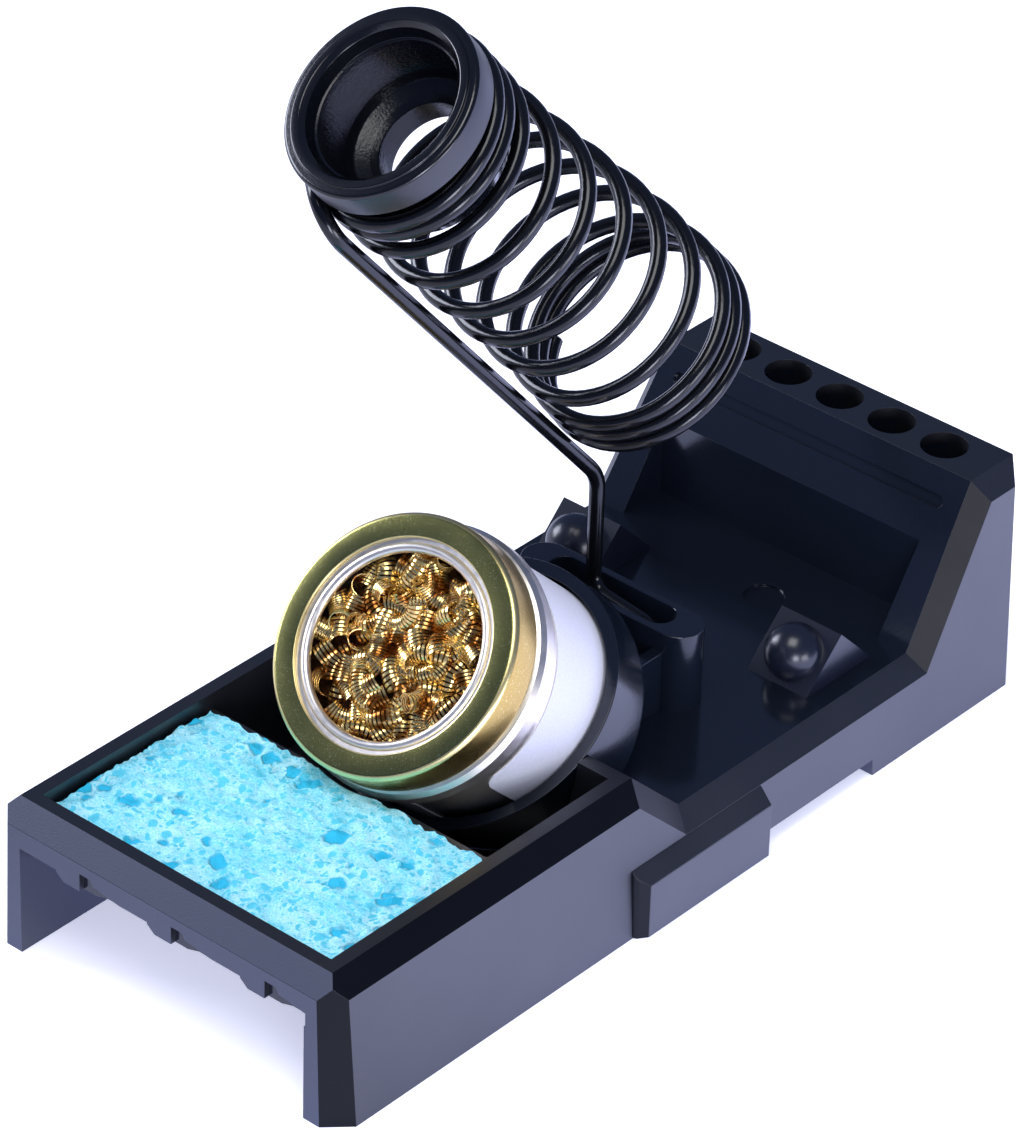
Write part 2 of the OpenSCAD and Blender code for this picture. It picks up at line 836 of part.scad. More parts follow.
// direction of the wire, which at the coil's start is that of the run into it
function coil_dir(t) =
    t > coil_start ? unit(coil_pt(t + 0.002) - coil_pt(t - 0.002)) :
    unit(ring_start - crook);
// outward direction of the turn, square to the wire
function coil_out(t) =
    let(d = coil_dir(t), o = axis_up * sin(-360 * t) + [cos(-360 * t), 0, 0])
    unit(o - d * (o * d));

// one length of the coil wire between two counts of turns
module coil_length(t0, t1) {
    steps = ceil((t1 - t0) * turn_n);
    pts = [
        for (i = [0:steps])
            let(t = t0 + (t1 - t0) * i / steps, c = coil_pt(t), o = coil_out(t), b = cross(coil_dir(t), o))
                for (j = [0:wire_n - 1])
                    c + (o * cos(360 * j / wire_n) + b * sin(360 * j / wire_n)) * wire_r
    ];
    sides = [
        for (i = [0:steps - 1])
            for (j = [0:wire_n - 1])
                let(a = i * wire_n + j, b = i * wire_n + (j + 1) % wire_n)
                    each [[a, b + wire_n, b], [a, a + wire_n, b + wire_n]]
    ];
    first = [[for (j = [0:wire_n - 1]) j]];
    last = [[for (j = [wire_n - 1:-1:0]) steps * wire_n + j]];
    polyhedron(points = pts, faces = concat(sides, first, last), convexity = 12);
}

// straight wire between two points
module wire_run(p, q) {
    v = q - p;
    translate(p)
        rotate([0, acos(v[2] / norm(v)), atan2(v[1], v[0])])
            cylinder(r = wire_r, h = norm(v), $fn = 32);
}

// trim length that a bend takes from each of its two straight runs
function bend_cut(p, v, q, r) = r * tan(turn_between(p, v, q) / 2);
function turn_between(p, v, q) = acos(unit(v - p) * unit(q - v));
function bend_in(p, v, q, r) = v - unit(v - p) * bend_cut(p, v, q, r);
function bend_out(p, v, q, r) = v + unit(q - v) * bend_cut(p, v, q, r);

// round bend of the wire at v on the way from p to q
module wire_bend(p, v, q, r) {
    a = unit(v - p);
    n = unit(cross(a, unit(q - v)));
    c = cross(n, a);
    o = bend_in(p, v, q, r) + c * r;
    multmatrix([
        [-c[0], a[0], n[0], o[0]],
        [-c[1], a[1], n[1], o[1]],
        [-c[2], a[2], n[2], o[2]],
        [0, 0, 0, 1]
    ])
        rotate_extrude(angle = turn_between(p, v, q))
            translate([r, 0])
                circle(r = wire_r, $fn = 32);
}

pin_end = [tail_len, 0, pocket_z + run_gap + 0.2];
tail_end = [tail_len, 0, tail_z];
leg_foot = [0, 0, tail_z];
elbow = [0, 0, elbow_z];
crook = mouth - axis_d * ring_s - axis_up * crook_drop;
ring_start = coil_pt(coil_start);

module holder_leg() {
    color("#0f0f12")
        holder_frame()
            union() {
                wire_run(pin_end, bend_in(pin_end, tail_end, leg_foot, small_bend));
                wire_bend(pin_end, tail_end, leg_foot, small_bend);
                wire_run(
                    bend_out(pin_end, tail_end, leg_foot, small_bend),
                    bend_in(tail_end, leg_foot, elbow, small_bend)
                );
                wire_bend(tail_end, leg_foot, elbow, small_bend);
                wire_run(
                    bend_out(tail_end, leg_foot, elbow, small_bend),
                    bend_in(leg_foot, elbow, crook, elbow_bend)
                );
            }
}

module holder_arm() {
    color("#0f0f12")
        holder_frame()
            union() {
                wire_bend(leg_foot, elbow, crook, elbow_bend);
                wire_run(
                    bend_out(leg_foot, elbow, crook, elbow_bend),
                    bend_in(elbow, crook, ring_start, crook_bend)
                );
            }
}

module holder_crook() {
    color("#0f0f12")
        holder_frame()
            union() {
                wire_bend(elbow, crook, ring_start, crook_bend);
                wire_run(bend_out(elbow, crook, ring_start, crook_bend), ring_start);
            }
}

// turn counts where the coil is divided into its close and open lengths
front_end = 1.9;
rear_start = 7.75;

module coil_front() {
    color("#0f0f12")
        holder_frame()
            coil_length(coil_start, front_end);
}

module coil_open() {
    color("#0f0f12")
        holder_frame()
            coil_length(front_end, rear_start);
}

module coil_rear() {
    color("#0f0f12")
        holder_frame()
            coil_length(rear_start, coil_end);
}

module funnel() {
    neck_r = coil_front_r - wire_r + neck_grip;
    step_r = rim_r - lip_w;
    color("#0d0d10")
        holder_frame()
            translate(mouth)
                rotate([coil_tilt, 0, 0])
                    rotate_extrude()
                        polygon([
                            [bowl_r, -bowl_edge],
                            [bowl_r + bowl_edge, 0],
                            [step_r - bowl_edge / 3, 0],
                            [step_r, 0.4],
                            [rim_r - 0.6, 0.4],
                            [rim_r, -0.2],
                            [rim_r, -rim_len],
                            [neck_r, -rim_len],
                            [neck_r, -neck_len],
                            [neck_r - neck_taper, -funnel_len],
                            [hole_r + bowl_edge, -funnel_len],
                            [hole_r, -funnel_len + bowl_edge],
                            [hole_r, -bowl_depth - bowl_edge],
                            [hole_r + bowl_step, -bowl_depth],
                            [bowl_r - bowl_step - bowl_edge, -bowl_depth + bowl_edge],
                            [bowl_r - bowl_step, -bowl_depth + 2 * bowl_step]
                        ]);
}

base_shell();
side_foot_left();
side_foot_right();
tip_wells();
tin_cup();
holder_post();
post_webs();
rest_block_left();
rest_block_right();
sponge();
tin_can();
tin_label();
brass_wool();
tin_lid();
tin_inner_ring();
holder_leg();
holder_arm();
holder_crook();
coil_front();
coil_open();
coil_rear();
funnel();
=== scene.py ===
"""Soldering iron station: the looks of every piece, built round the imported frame.

Sizes are millimetres until they reach Blender, +Z is up and the front faces -Y.
"""

import json
import logging
import math
import random
from contextlib import contextmanager
from dataclasses import dataclass, field
from enum import Enum
from typing import Any, Callable, Iterator, Sequence

import bmesh
import bpy
from mathutils import Matrix, Vector

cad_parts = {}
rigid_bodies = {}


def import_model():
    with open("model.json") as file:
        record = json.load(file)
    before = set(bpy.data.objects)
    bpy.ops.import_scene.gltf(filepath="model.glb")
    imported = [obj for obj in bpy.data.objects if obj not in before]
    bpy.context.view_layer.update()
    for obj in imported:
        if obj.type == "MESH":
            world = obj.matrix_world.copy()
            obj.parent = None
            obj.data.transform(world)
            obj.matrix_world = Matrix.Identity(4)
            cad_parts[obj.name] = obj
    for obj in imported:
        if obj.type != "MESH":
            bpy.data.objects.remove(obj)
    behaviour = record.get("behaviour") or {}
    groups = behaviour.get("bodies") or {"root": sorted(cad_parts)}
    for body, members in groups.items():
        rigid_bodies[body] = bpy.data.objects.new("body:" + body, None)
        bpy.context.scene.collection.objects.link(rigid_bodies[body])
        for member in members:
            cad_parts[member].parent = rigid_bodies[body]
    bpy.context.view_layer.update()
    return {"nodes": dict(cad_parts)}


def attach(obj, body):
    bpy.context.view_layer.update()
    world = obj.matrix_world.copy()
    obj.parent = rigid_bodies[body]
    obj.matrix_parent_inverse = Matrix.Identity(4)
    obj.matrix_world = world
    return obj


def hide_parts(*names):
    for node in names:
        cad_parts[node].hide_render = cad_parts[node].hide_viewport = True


LOG = logging.getLogger("iron_station")
MM = 0.001
FILLET_STEPS = 4  # lengths in the fillet of a turned section
Pair = tuple[float, float]
Triple = tuple[float, float, float]
Shape = bpy.types.Object
Skip = Callable[[Vector], bool] | None
Inputs = dict[str, Any]


class Body(Enum):
    """The CAD bodies that a piece can ride on."""

    BASE = "base"
    SPONGE = "sponge_pad"
    TIN = "tin"
    LID = "lid"
    HOLDER = "wire_holder"


# ---- modelling by hand, in code ----


def select_only(*pieces: Shape) -> None:
    """Selects some pieces alone.

    Args:
        pieces: what to select, the active one first.
    """
    bpy.ops.object.select_all(action="DESELECT")
    for piece in pieces:
        piece.select_set(True)
    bpy.context.view_layer.objects.active = pieces[0]


def fresh(name: str, make: Callable[..., Any], **settings: Any) -> Shape:
    """Adds one of Blender's own shapes, with nothing else selected.

    Args:
        name: the new piece's name.
        make: the operator that adds it.
        settings: the operator's settings.

    Returns:
        The new piece.
    """
    bpy.ops.object.select_all(action="DESELECT")
    make(**settings)
    piece = bpy.context.object
    piece.name = piece.data.name = name
    return piece


@contextmanager
def editing(piece: Shape) -> Iterator[None]:
    """Holds a piece in edit mode, with all of it selected, in a with block.

    Args:
        piece: the mesh to edit.
    """
    select_only(piece)
    bpy.ops.object.mode_set(mode="EDIT")
    bpy.ops.mesh.select_all(action="SELECT")
    yield
    bpy.ops.object.mode_set(mode="OBJECT")


def choose_edges(piece: Shape, test: Callable[[Any], bool]) -> None:
    """Selects the edges of the edited mesh that pass a test.

    Args:
        piece: the mesh in edit mode.
        test: says whether an edge is wanted.
    """
    bpy.ops.mesh.select_mode(type="EDGE")
    bpy.ops.mesh.select_all(action="DESELECT")
    mesh = bmesh.from_edit_mesh(piece.data)
    for edge in filter(test, mesh.edges):
        edge.select = True
    mesh.select_flush_mode()
    bmesh.update_edit_mesh(piece.data)


def choose_rims(piece: Shape) -> None:
    """Selects the open edges of the edited mesh."""
    choose_edges(piece, lambda edge: edge.is_boundary)


def face_out() -> None:
    """Turns every face of the edited mesh outwards."""
    bpy.ops.mesh.select_all(action="SELECT")
    bpy.ops.mesh.normals_make_consistent(inside=False)


def modify(piece: Shape, kind: str, **settings: Any) -> None:
    """Gives a piece one modifier and applies it.

    Args:
        piece: the mesh to change.
        kind: the modifier's type.
        settings: its properties.
    """
    select_only(piece)
    modifier = piece.modifiers.new(kind.title(), kind)
    for key, value in settings.items():
        setattr(modifier, key, value)
    bpy.ops.object.modifier_apply(modifier=modifier.name)


def settle(piece: Shape, place: Matrix | None = None) -> Shape:
    """Puts a piece in its place, with the place in its mesh and the object at the origin.

    Args:
        piece: the mesh to place.
        place: where it goes, or None to keep it where it is.

    Returns:
        The same piece.
    """
    select_only(piece)
    if place is not None:
        piece.matrix_world = place @ piece.matrix_world
    bpy.ops.object.transform_apply(location=True, rotation=True, scale=True)
    return piece


def smooth(piece: Shape, degrees: float = 32) -> None:
    """Shades a piece smooth, except over edges sharper than this."""
    select_only(piece)
    bpy.ops.object.shade_smooth_by_angle(angle=math.radians(degrees))


def turned(name: str, profile: Sequence[Pair], sides: int = 128, joined: bool = True) -> Shape:
    """Models a turned shape round Z by drawing one ring out of the other.

    Args:
        name: the piece's name.
        profile: radius and height of each ring, in order round the section.
        sides: how many sides a ring has.
        joined: whether the last ring meets the first one, as round a bored piece.

    Returns:
        The piece, with closed walls and normals outwards.
    """
    radius, height = profile[0]
    place = {"radius": radius * MM, "location": (0, 0, height * MM)}
    piece = settle(fresh(name, bpy.ops.mesh.primitive_circle_add, vertices=sides, **place))
    with editing(piece):
        for (r0, z0), (r1, z1) in zip(profile, profile[1:]):
            rise = {"value": (0, 0, (z1 - z0) * MM)}
            bpy.ops.mesh.extrude_edges_move(TRANSFORM_OT_translate=rise)
            middle = (0, 0, z1 * MM)
            bpy.ops.transform.resize(value=(r1 / r0, r1 / r0, 1), center_override=middle)
        choose_rims(piece)
        if joined:
            bpy.ops.mesh.bridge_edge_loops()
        else:
            bpy.ops.mesh.edge_face_add()
        face_out()
    return piece


def rounded(corners: Sequence[Triple]) -> list[Pair]:
    """Rounds the corners of a closed section.

    Args:
        corners: radius, height and fillet of each corner, in order.

    Returns:
        The rings of the rounded section.
    """
    rings: list[Pair] = []
    for i, (x, y, fillet) in enumerate(corners):
        if fillet <= 0:
            rings.append((x, y))
            continue
        here = Vector((x, y))
        back = (Vector(corners[i - 1][:2]) - here).normalized()
        ahead = (Vector(corners[(i + 1) % len(corners)][:2]) - here).normalized()
        half = back.angle(ahead) / 2
        start, end = (here + way * (fillet / math.tan(half)) for way in (back, ahead))
        centre = here + (back + ahead).normalized() * (fillet / math.sin(half))
        for k in range(FILLET_STEPS + 1):
            arm = (start - centre).lerp(end - centre, k / FILLET_STEPS).normalized() * fillet
            rings.append((centre.x + arm.x, centre.y + arm.y))
    return rings


# ---- finishes ----


def colour(code: str) -> tuple[float, ...]:
    """Turns an sRGB hex value into the linear colour that shaders take."""
    parts = (int(code[i : i + 2], 16) / 255 for i in (1, 3, 5))
    return (*(c / 12.92 if c <= 0.04045 else ((c + 0.055) / 1.055) ** 2.4 for c in parts), 1.0)


@dataclass(frozen=True)
class Nodes:
    """A node tree and what the finishes add to it. Each method returns a socket, but for add."""

    tree: bpy.types.NodeTree

    def add(self, kind: str, inputs: dict[Any, Any] | None = None, **settings: Any) -> Any:
        """Adds a shader node with its settings, values and links.

        Args:
            kind: the node's type, without the ShaderNode at its front.
            inputs: a value or an output socket for each named or numbered input.
            settings: the node's own properties.

        Returns:
            The node.
        """
        node = self.tree.nodes.new("ShaderNode" + kind)
        for key, value in settings.items():
            setattr(node, key, value)
        for key, value in (inputs or {}).items():
            if isinstance(value, bpy.types.NodeSocket):
                self.tree.links.new(value, node.inputs[key])
            else:
                node.inputs[key].default_value = value
        return node

    def noise(self, grain: float, detail: float = 3, rough: float = 0.55) -> Any:
        """Adds noise with features of this size in mm."""
        look = {"Scale": 1 / (grain * MM), "Detail": detail, "Roughness": rough}
        return self.add("TexNoise", {"Vector": self.place(), **look}).outputs["Fac"]

    def place(self) -> Any:
        """Adds the place on the piece."""
        return self.add("TexCoord").outputs["Object"]

    def spread(self, value: Any, low: float, high: float, span: Pair = (0.0, 1.0)) -> Any:
        """Maps a value from its own span on to the one from low to high."""
        ends = {"From Min": span[0], "From Max": span[1], "To Min": low, "To Max": high}
        return self.add("MapRange", {"Value": value, **ends}).outputs[0]

    def relief(self, height: Any, depth: float, strength: float) -> Any:
        """Adds the normal for relief of this depth in mm."""
        look = {"Height": height, "Distance": depth * MM, "Strength": strength}
        return self.add("Bump", look).outputs[0]

    def mix(self, share: Any, first: Any, second: Any, blend: str = "MIX") -> Any:
        """Mixes two colours."""
        colours = {"Fac": share, "Color1": first, "Color2": second}
        return self.add("MixRGB", colours, blend_type=blend).outputs[0]

    def reckon(self, operation: str, *values: Any, kind: str = "Math") -> Any:
        """Calculates with values or sockets."""
        return self.add(kind, dict(enumerate(values)), operation=operation).outputs[0]

    def ramp(self, value: Any, *stops: tuple[float, str]) -> Any:
        """Adds a colour ramp.

        Args:
            value: the socket that drives it.
            stops: place and sRGB colour of each stop, in order.

        Returns:
            The ramp's colour socket.
        """
        node = self.add("ValToRGB", {"Fac": value})
        elements = node.color_ramp.elements
        while len(elements) < len(stops):
            elements.new(0.5)
        for element, (place, tint) in zip(elements, stops):
            element.position = place
            element.color = colour(tint)
        return node.outputs["Color"]


@dataclass(frozen=True)
class Finish:
    """What every finish shares: its name, the record's slot, and one material made once."""

    name: str
    slot: str

    def material(self) -> bpy.types.Material:
        """Makes the material the first time.

        Returns:
            The material.
        """
        found = bpy.data.materials.get(self.name)
        if found:
            return found
        made = bpy.data.materials.new(self.name)
        made.use_nodes = True
        nodes = Nodes(made.node_tree)
        nodes.tree.nodes.clear()
        shader = nodes.add("BsdfPrincipled", self.inputs(nodes))
        nodes.add("OutputMaterial", {"Surface": shader.outputs[0]})
        return made

    def inputs(self, nodes: Nodes) -> Inputs:
        """Adds the nodes of the finish.

        Args:
            nodes: the material's nodes.

        Returns:
            A value or a socket for each input that the finish sets on its shader.
        """
        raise NotImplementedError


@dataclass(frozen=True)
class MouldedPlastic(Finish):
    """Injection-moulded plastic: near black, with the mould's grain and a few soft flow marks."""

    tint: str
    roughness: float
    grain: float
    depth: float
    shine: float

    def inputs(self, nodes: Nodes) -> Inputs:
        """Adds the nodes: the flow marks move the gloss, the grain breaks up the highlights."""
        marks = nodes.noise(grain=22, detail=2)
        grain = nodes.noise(self.grain, detail=2)
        return {
            "Base Color": colour(self.tint),
            "Roughness": nodes.spread(marks, self.roughness * 0.85, self.roughness * 1.2),
            "Normal": nodes.relief(grain, self.depth, strength=0.5),
            "IOR": 1.59,
            "Specular IOR Level": self.shine,
        }


@dataclass(frozen=True)
class GlossPaint(Finish):
    """Baked black enamel on steel wire: a deep gloss, slightly uneven where it ran."""

    tint: str = "#08090c"
    roughness: float = 0.12

    def inputs(self, nodes: Nodes) -> Inputs:
        """Adds the nodes: slow waves bend the long highlights, fine noise softens them."""
        waves = nodes.noise(grain=5, detail=2)
        fine = nodes.noise(grain=1.2)
        return {
            "Base Color": colour(self.tint),
            "Roughness": nodes.spread(fine, self.roughness, self.roughness * 2),
            "Normal": nodes.relief(waves, depth=0.12, strength=0.4),
            "IOR": 1.5,
        }


@dataclass(frozen=True)
class LacqueredTin(Finish):
    """Gold-lacquered tinplate: rolled sheet whose lacquer shows small pale specks."""

    tint: str = "#9e9a5a"
    speck: str = "#f0e8b0"
    roughness: float = 0.24

    def inputs(self, nodes: Nodes) -> Inputs:
        """Adds the nodes: specks a third of a millimetre across on a sheet of uneven gloss."""
        specks = nodes.noise(grain=0.3, detail=2, rough=0.7)
        broad = nodes.noise(grain=9, detail=2)
        return {
            "Base Color": nodes.ramp(specks, (0.62, self.tint), (0.69, self.speck)),
            "Metallic": 1.0,
            "Roughness": nodes.spread(broad, self.roughness * 0.8, self.roughness * 1.3),
            "Normal": nodes.relief(specks, depth=0.03, strength=0.35),
        }


@dataclass(frozen=True)
class BrightTin(Finish):
    """Plain tinplate: pale silver, drawn and rolled, with faint marks of the roller."""

    tint: str = "#fdf4e6"
    roughness: float = 0.34

    def inputs(self, nodes: Nodes) -> Inputs:
        """Adds the nodes: short marks change the gloss, the sheet stays pale."""
        marks = nodes.noise(grain=1.4)
        return {
            "Base Color": colour(self.tint),
            "Metallic": 1.0,
            "Roughness": nodes.spread(marks, self.roughness * 0.7, self.roughness * 1.5),
            "Normal": nodes.relief(marks, depth=0.03, strength=0.3),
        }


@dataclass(frozen=True)
class BrassSwarf(Finish):
    """Turned brass swarf: bright rolled ribbon, pale gold, and browner where it was cut hot.

    A thin clear film gives each curl a second, whiter glint.
    """

    tint: str = "#ffde90"
    hot: str = "#a8661c"
    roughness: float = 0.2
    metal: float = 0.95
    film: float = 0.35

    def inputs(self, nodes: Nodes) -> Inputs:
        """Adds the nodes: the tint wanders from curl to curl, fine lines roughen the ribbon."""
        wander = nodes.noise(grain=4.5, detail=2)
        lines = nodes.noise(grain=0.25, detail=2)
        return {
            "Base Color": nodes.ramp(wander, (0.4, self.hot), (0.52, self.tint)),
            "Metallic": self.metal,
            "Roughness": nodes.spread(lines, self.roughness * 0.7, self.roughness * 1.6),
            "Coat Weight": self.film,
            "Coat Roughness": 0.08,
        }


@dataclass(frozen=True)
class WoolShade(Finish):
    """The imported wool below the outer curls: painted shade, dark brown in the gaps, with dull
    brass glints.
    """

    def inputs(self, nodes: Nodes) -> Inputs:
        """Adds the nodes: deep brown painted shade with rounded lumps the size of a curl."""
        lumps = nodes.noise(grain=1.6, detail=4)
        return {
            "Base Color": nodes.ramp(lumps, (0.35, "#140803"), (0.7, "#5a3210")),
            "Metallic": 0.6,
            "Roughness": 0.45,
            "Normal": nodes.relief(lumps, depth=1.2, strength=0.9),
        }


@dataclass(frozen=True)
class CoatedPaper(Finish):
    """Coated label paper: white, with a soft sheen and hardly any tooth."""

    def inputs(self, nodes: Nodes) -> Inputs:
        """Adds the nodes: fibres, drawn coarser than real ones so that they show at all."""
        fibre = nodes.noise(grain=0.4, detail=4, rough=0.6)
        return {
            "Base Color": nodes.ramp(fibre, (0.3, "#cfd0da"), (0.7, "#dbdce6")),
            "Roughness": 0.6,
            "Normal": nodes.relief(fibre, depth=0.02, strength=0.3),
            "IOR": 1.5,
        }


@dataclass(frozen=True)
class CelluloseSponge(Finish):
    """Dry pressed cellulose: pale cyan skin, with painted shade in deeper cyan in its pores.

    Broad pores, small ones and pinholes come as spacing in mm and the widest radius, as part of
    the spacing. The least of them stay closed, and their edges fade.
    """

    pale: str = "#b4eef7"
    middle: str = "#84dcee"
    deep: str = "#54cae2"
    pore: str = "#20b8dc"
    sizes: tuple[Pair, ...] = ((4.6, 0.64), (2.0, 0.68), (0.95, 0.66))
    closed: float = 0.16
    fade: Pair = (-0.05, 0.07)
    warp: float = 3

    def inputs(self, nodes: Nodes) -> Inputs:
        """Adds the nodes: open pores from half a millimetre to four wide in painted shade, over a
        fine grain.
        """
        place = nodes.place()
        drift = nodes.add("TexNoise", {"Vector": place, "Scale": 1 / (2.8 * MM), "Detail": 1.5})
        shift = nodes.reckon("SUBTRACT", drift.outputs["Color"], (0.5,) * 3, kind="VectorMath")
        warp = (self.warp * MM,) * 3
        moved = nodes.reckon("MULTIPLY_ADD", shift, warp, place, kind="VectorMath")
        broad, small, pin = [self.pores(nodes, moved, *size) for size in self.sizes]
        mottle = nodes.noise(grain=5, rough=0.6)
        fine = nodes.noise(grain=0.42, rough=0.7)
        grain = nodes.reckon("MULTIPLY_ADD", mottle, 0.7, fine)
        skin = nodes.ramp(grain, (0.58, self.deep), (0.8, self.middle), (1.0, self.pale))
        # Pinholes and small pores: painted shade in the deep cyan.
        pricked = nodes.mix(pin, skin, colour(self.deep))
        inner = nodes.mix(small, pricked, colour(self.deep))
        dents = nodes.reckon("MULTIPLY_ADD", broad, -2.0, fine)
        return {
            # Broad pores: painted shade in the pore colour.
            "Base Color": nodes.mix(broad, inner, colour(self.pore)),
            "Roughness": 0.85,
            "Normal": nodes.relief(dents, depth=0.4, strength=0.7),
        }

    def pores(self, nodes: Nodes, place: Any, cell: float, widest: float) -> Any:
        """Adds pores of uneven size, the mask where their shade is painted.

        Args:
            nodes: the material's nodes.
            place: the socket of the warped place.
            cell: spacing of the pores, mm.
            widest: radius of the widest one, as part of the spacing.

        Returns:
            A value socket that is 1 in a pore.
        """
        look = {"Vector": place, "Scale": 1 / (cell * MM), "Randomness": 1.0}
        cells = nodes.add("TexVoronoi", look)
        chance = nodes.add("SeparateColor", {0: cells.outputs["Color"]}).outputs[0]
        reach = nodes.reckon("MULTIPLY_ADD", chance, widest, -self.closed)
        depth = nodes.reckon("SUBTRACT", reach, cells.outputs["Distance"])
        return nodes.spread(depth, 0.0, 1.0, self.fade)


@dataclass(frozen=True)
class StudioFloor(Finish):
    """White photographic card over a light table: its glow is painted light that fills the low
    faces from below.

    The camera sees it evenly white, through a faint lavender glow that lightens its shadows. What
    the plastic mirrors falls off over these spans in metres towards the front and the left, as
    painted shade.
    """

    glow: float = 1.3
    near: float = 0.43
    side: float = 0.3
    grey: float = 0.45
    seen: float = 0.55
    front: Pair = (-0.13, -0.03)
    left: Pair = (-0.08, -0.045)

    def inputs(self, nodes: Nodes) -> Inputs:
        """Adds the nodes: matt white with a faint tooth, and the glow that the rest receives."""
        tooth = nodes.noise(grain=3, detail=2)
        tint = nodes.ramp(tooth, (0.2, "#f7f7fb"), (0.8, "#fafafd"))
        camera = nodes.add("LightPath").outputs["Is Camera Ray"]
        spot = nodes.add("SeparateXYZ", {0: nodes.place()})
        depth = nodes.spread(spot.outputs["Y"], self.near, self.glow, self.front)
        across = nodes.spread(spot.outputs["X"], self.side, 1.0, self.left)
        table = nodes.reckon("MULTIPLY", depth, across)
        faint = nodes.spread(table, self.grey, 1.0, (0.0, self.glow))
        dimmed = nodes.mix(1.0, tint, faint, "MULTIPLY")
        lit = nodes.add("Mix", {"Factor": camera, "A": table, "B": self.seen})
        return {
            "Base Color": nodes.mix(camera, dimmed, tint),
            "Roughness": 0.9,
            "Specular IOR Level": 0.1,
            "Emission Color": nodes.mix(camera, colour("#a8b4ff"), colour("#e4e6ff")),
            "Emission Strength": lit.outputs[0],
        }


# What each gives the eye stands over it, or in its class.
STYRENE, STYRENE_SLOT = "moulded polystyrene, ", "base_plastic"
BAKED_SLOT, LID_SLOT, WOOL_SLOT = "funnel_plastic", "lid_brass", "wool_brass"
# Outer walls: an even sheen broken by fine grain.
SATIN = MouldedPlastic(STYRENE + "sparked skin", STYRENE_SLOT, "#0b0d14", 0.4, 0.3, 0.05, 0.8)
# Front beam: painted lighter grey for the floor light it catches, and duller, with a coarse grain.
FASCIA = MouldedPlastic(STYRENE + "spark-eroded and painted lighter", STYRENE_SLOT, "#30364a", 0.5, 0.3, 0.09, 0.6)
# Chamfers, leg and foot fronts, parting line: painted shade, nearly black lines between the paler
# faces.
CORNER = MouldedPlastic(STYRENE + "painted shade", STYRENE_SLOT, "#06080d", 0.34, 0.6, 0.03, 0.16)
# Inside of the rims: wet-looking, it mirrors wire and tin. In the scoops it is painted shade.
GLOSSY_AND_SCOOP_SHADE = MouldedPlastic(STYRENE + "polished", STYRENE_SLOT, "#0f141e", 0.14, 0.9, 0.02, 0.46)
# Rest blocks: a gloss gone soft.
DOMED = MouldedPlastic(STYRENE + "dulled by use", STYRENE_SLOT, "#131724", 0.27, 0.9, 0.02, 0.5)
# Funnel: deep black, with crisp highlights on its bands.
BAKELITE = MouldedPlastic(
    "moulded bakelite, polished", BAKED_SLOT, "#07080b", 0.17, 0.6, 0.03, 0.5
)
# Funnel's outside: the same black, with a broad soft highlight.
HANDLED = MouldedPlastic(
    "moulded bakelite, dulled by handling", BAKED_SLOT, "#0a0b10", 0.36, 0.6, 0.03, 0.6
)
# Funnel's bore: fine tool marks that scatter what it mirrors.
TURNED = MouldedPlastic("turned bakelite", BAKED_SLOT, "#080a11", 0.24, 0.5, 0.12, 0.32)
ENAMEL = GlossPaint("baked enamel on wire", "wire_paint")
# Lid's face: olive gold with pale specks.
GOLD_TIN = LacqueredTin("gold-lacquered tinplate", LID_SLOT)
# Lid's skirt, drawn thin: painted warmer gold for the light it reflects.
GOLD_SKIRT = LacqueredTin("gold-lacquered tinplate, painted warmer", LID_SLOT, "#c4a55c", "#f4e2a8", 0.27)
# Lid's bends and inner wall: painted highlight, bright yellow lines round the face.
GOLD_HIGHLIGHT = LacqueredTin(
    "gold-lacquered tinplate, painted highlight on the bend", LID_SLOT, "#fbe6a0", "#fff2c4", 0.3
)
PALE_TIN = BrightTin("plain tinplate", "tin_plate")
SWARF = BrassSwarf("turned brass swarf", WOOL_SLOT)
SHADED_WOOL = WoolShade("brass wool in painted shade", WOOL_SLOT)
PAPER = CoatedPaper("coated label paper", "label_paper")
SPONGE = CelluloseSponge("pressed cellulose", "sponge_cellulose")
CARD = StudioFloor("white card", "")


# ---- dressing ----


def coat(piece: Shape, *finishes: Finish) -> None:
    """Gives a piece some materials, and no others.

    Args:
        piece: the mesh.
        finishes: the finishes, in the order of the slots.
    """
    piece.data.materials.clear()
    for finish in finishes:
        piece.data.materials.append(finish.material())


def paint(piece: Shape, pick: Callable[[Any], Finish], *finishes: Finish) -> None:
    """Picks a finish for each face of a piece.

    Args:
        piece: the mesh.
        pick: says which one a face gets.
        finishes: all that it picks from.
    """
    coat(piece, *finishes)
    for face in piece.data.polygons:
        face.material_index = finishes.index(pick(face))


def hand_over(piece: Shape, body: Body, finish: Finish, *nodes: str) -> None:
    """Gives a finished piece its material and its body, and hides the CAD nodes it stands for.

    Args:
        piece: the finished mesh.
        body: the CAD body that it rides on.
        finish: its finish.
        nodes: the CAD nodes that it replaces.
    """
    coat(piece, finish)
    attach(piece, body.value)
    if nodes:
        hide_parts(*nodes)
    LOG.info("%s: %d faces on %s", piece.name, len(piece.data.polygons), body.value)


# ---- the station ----


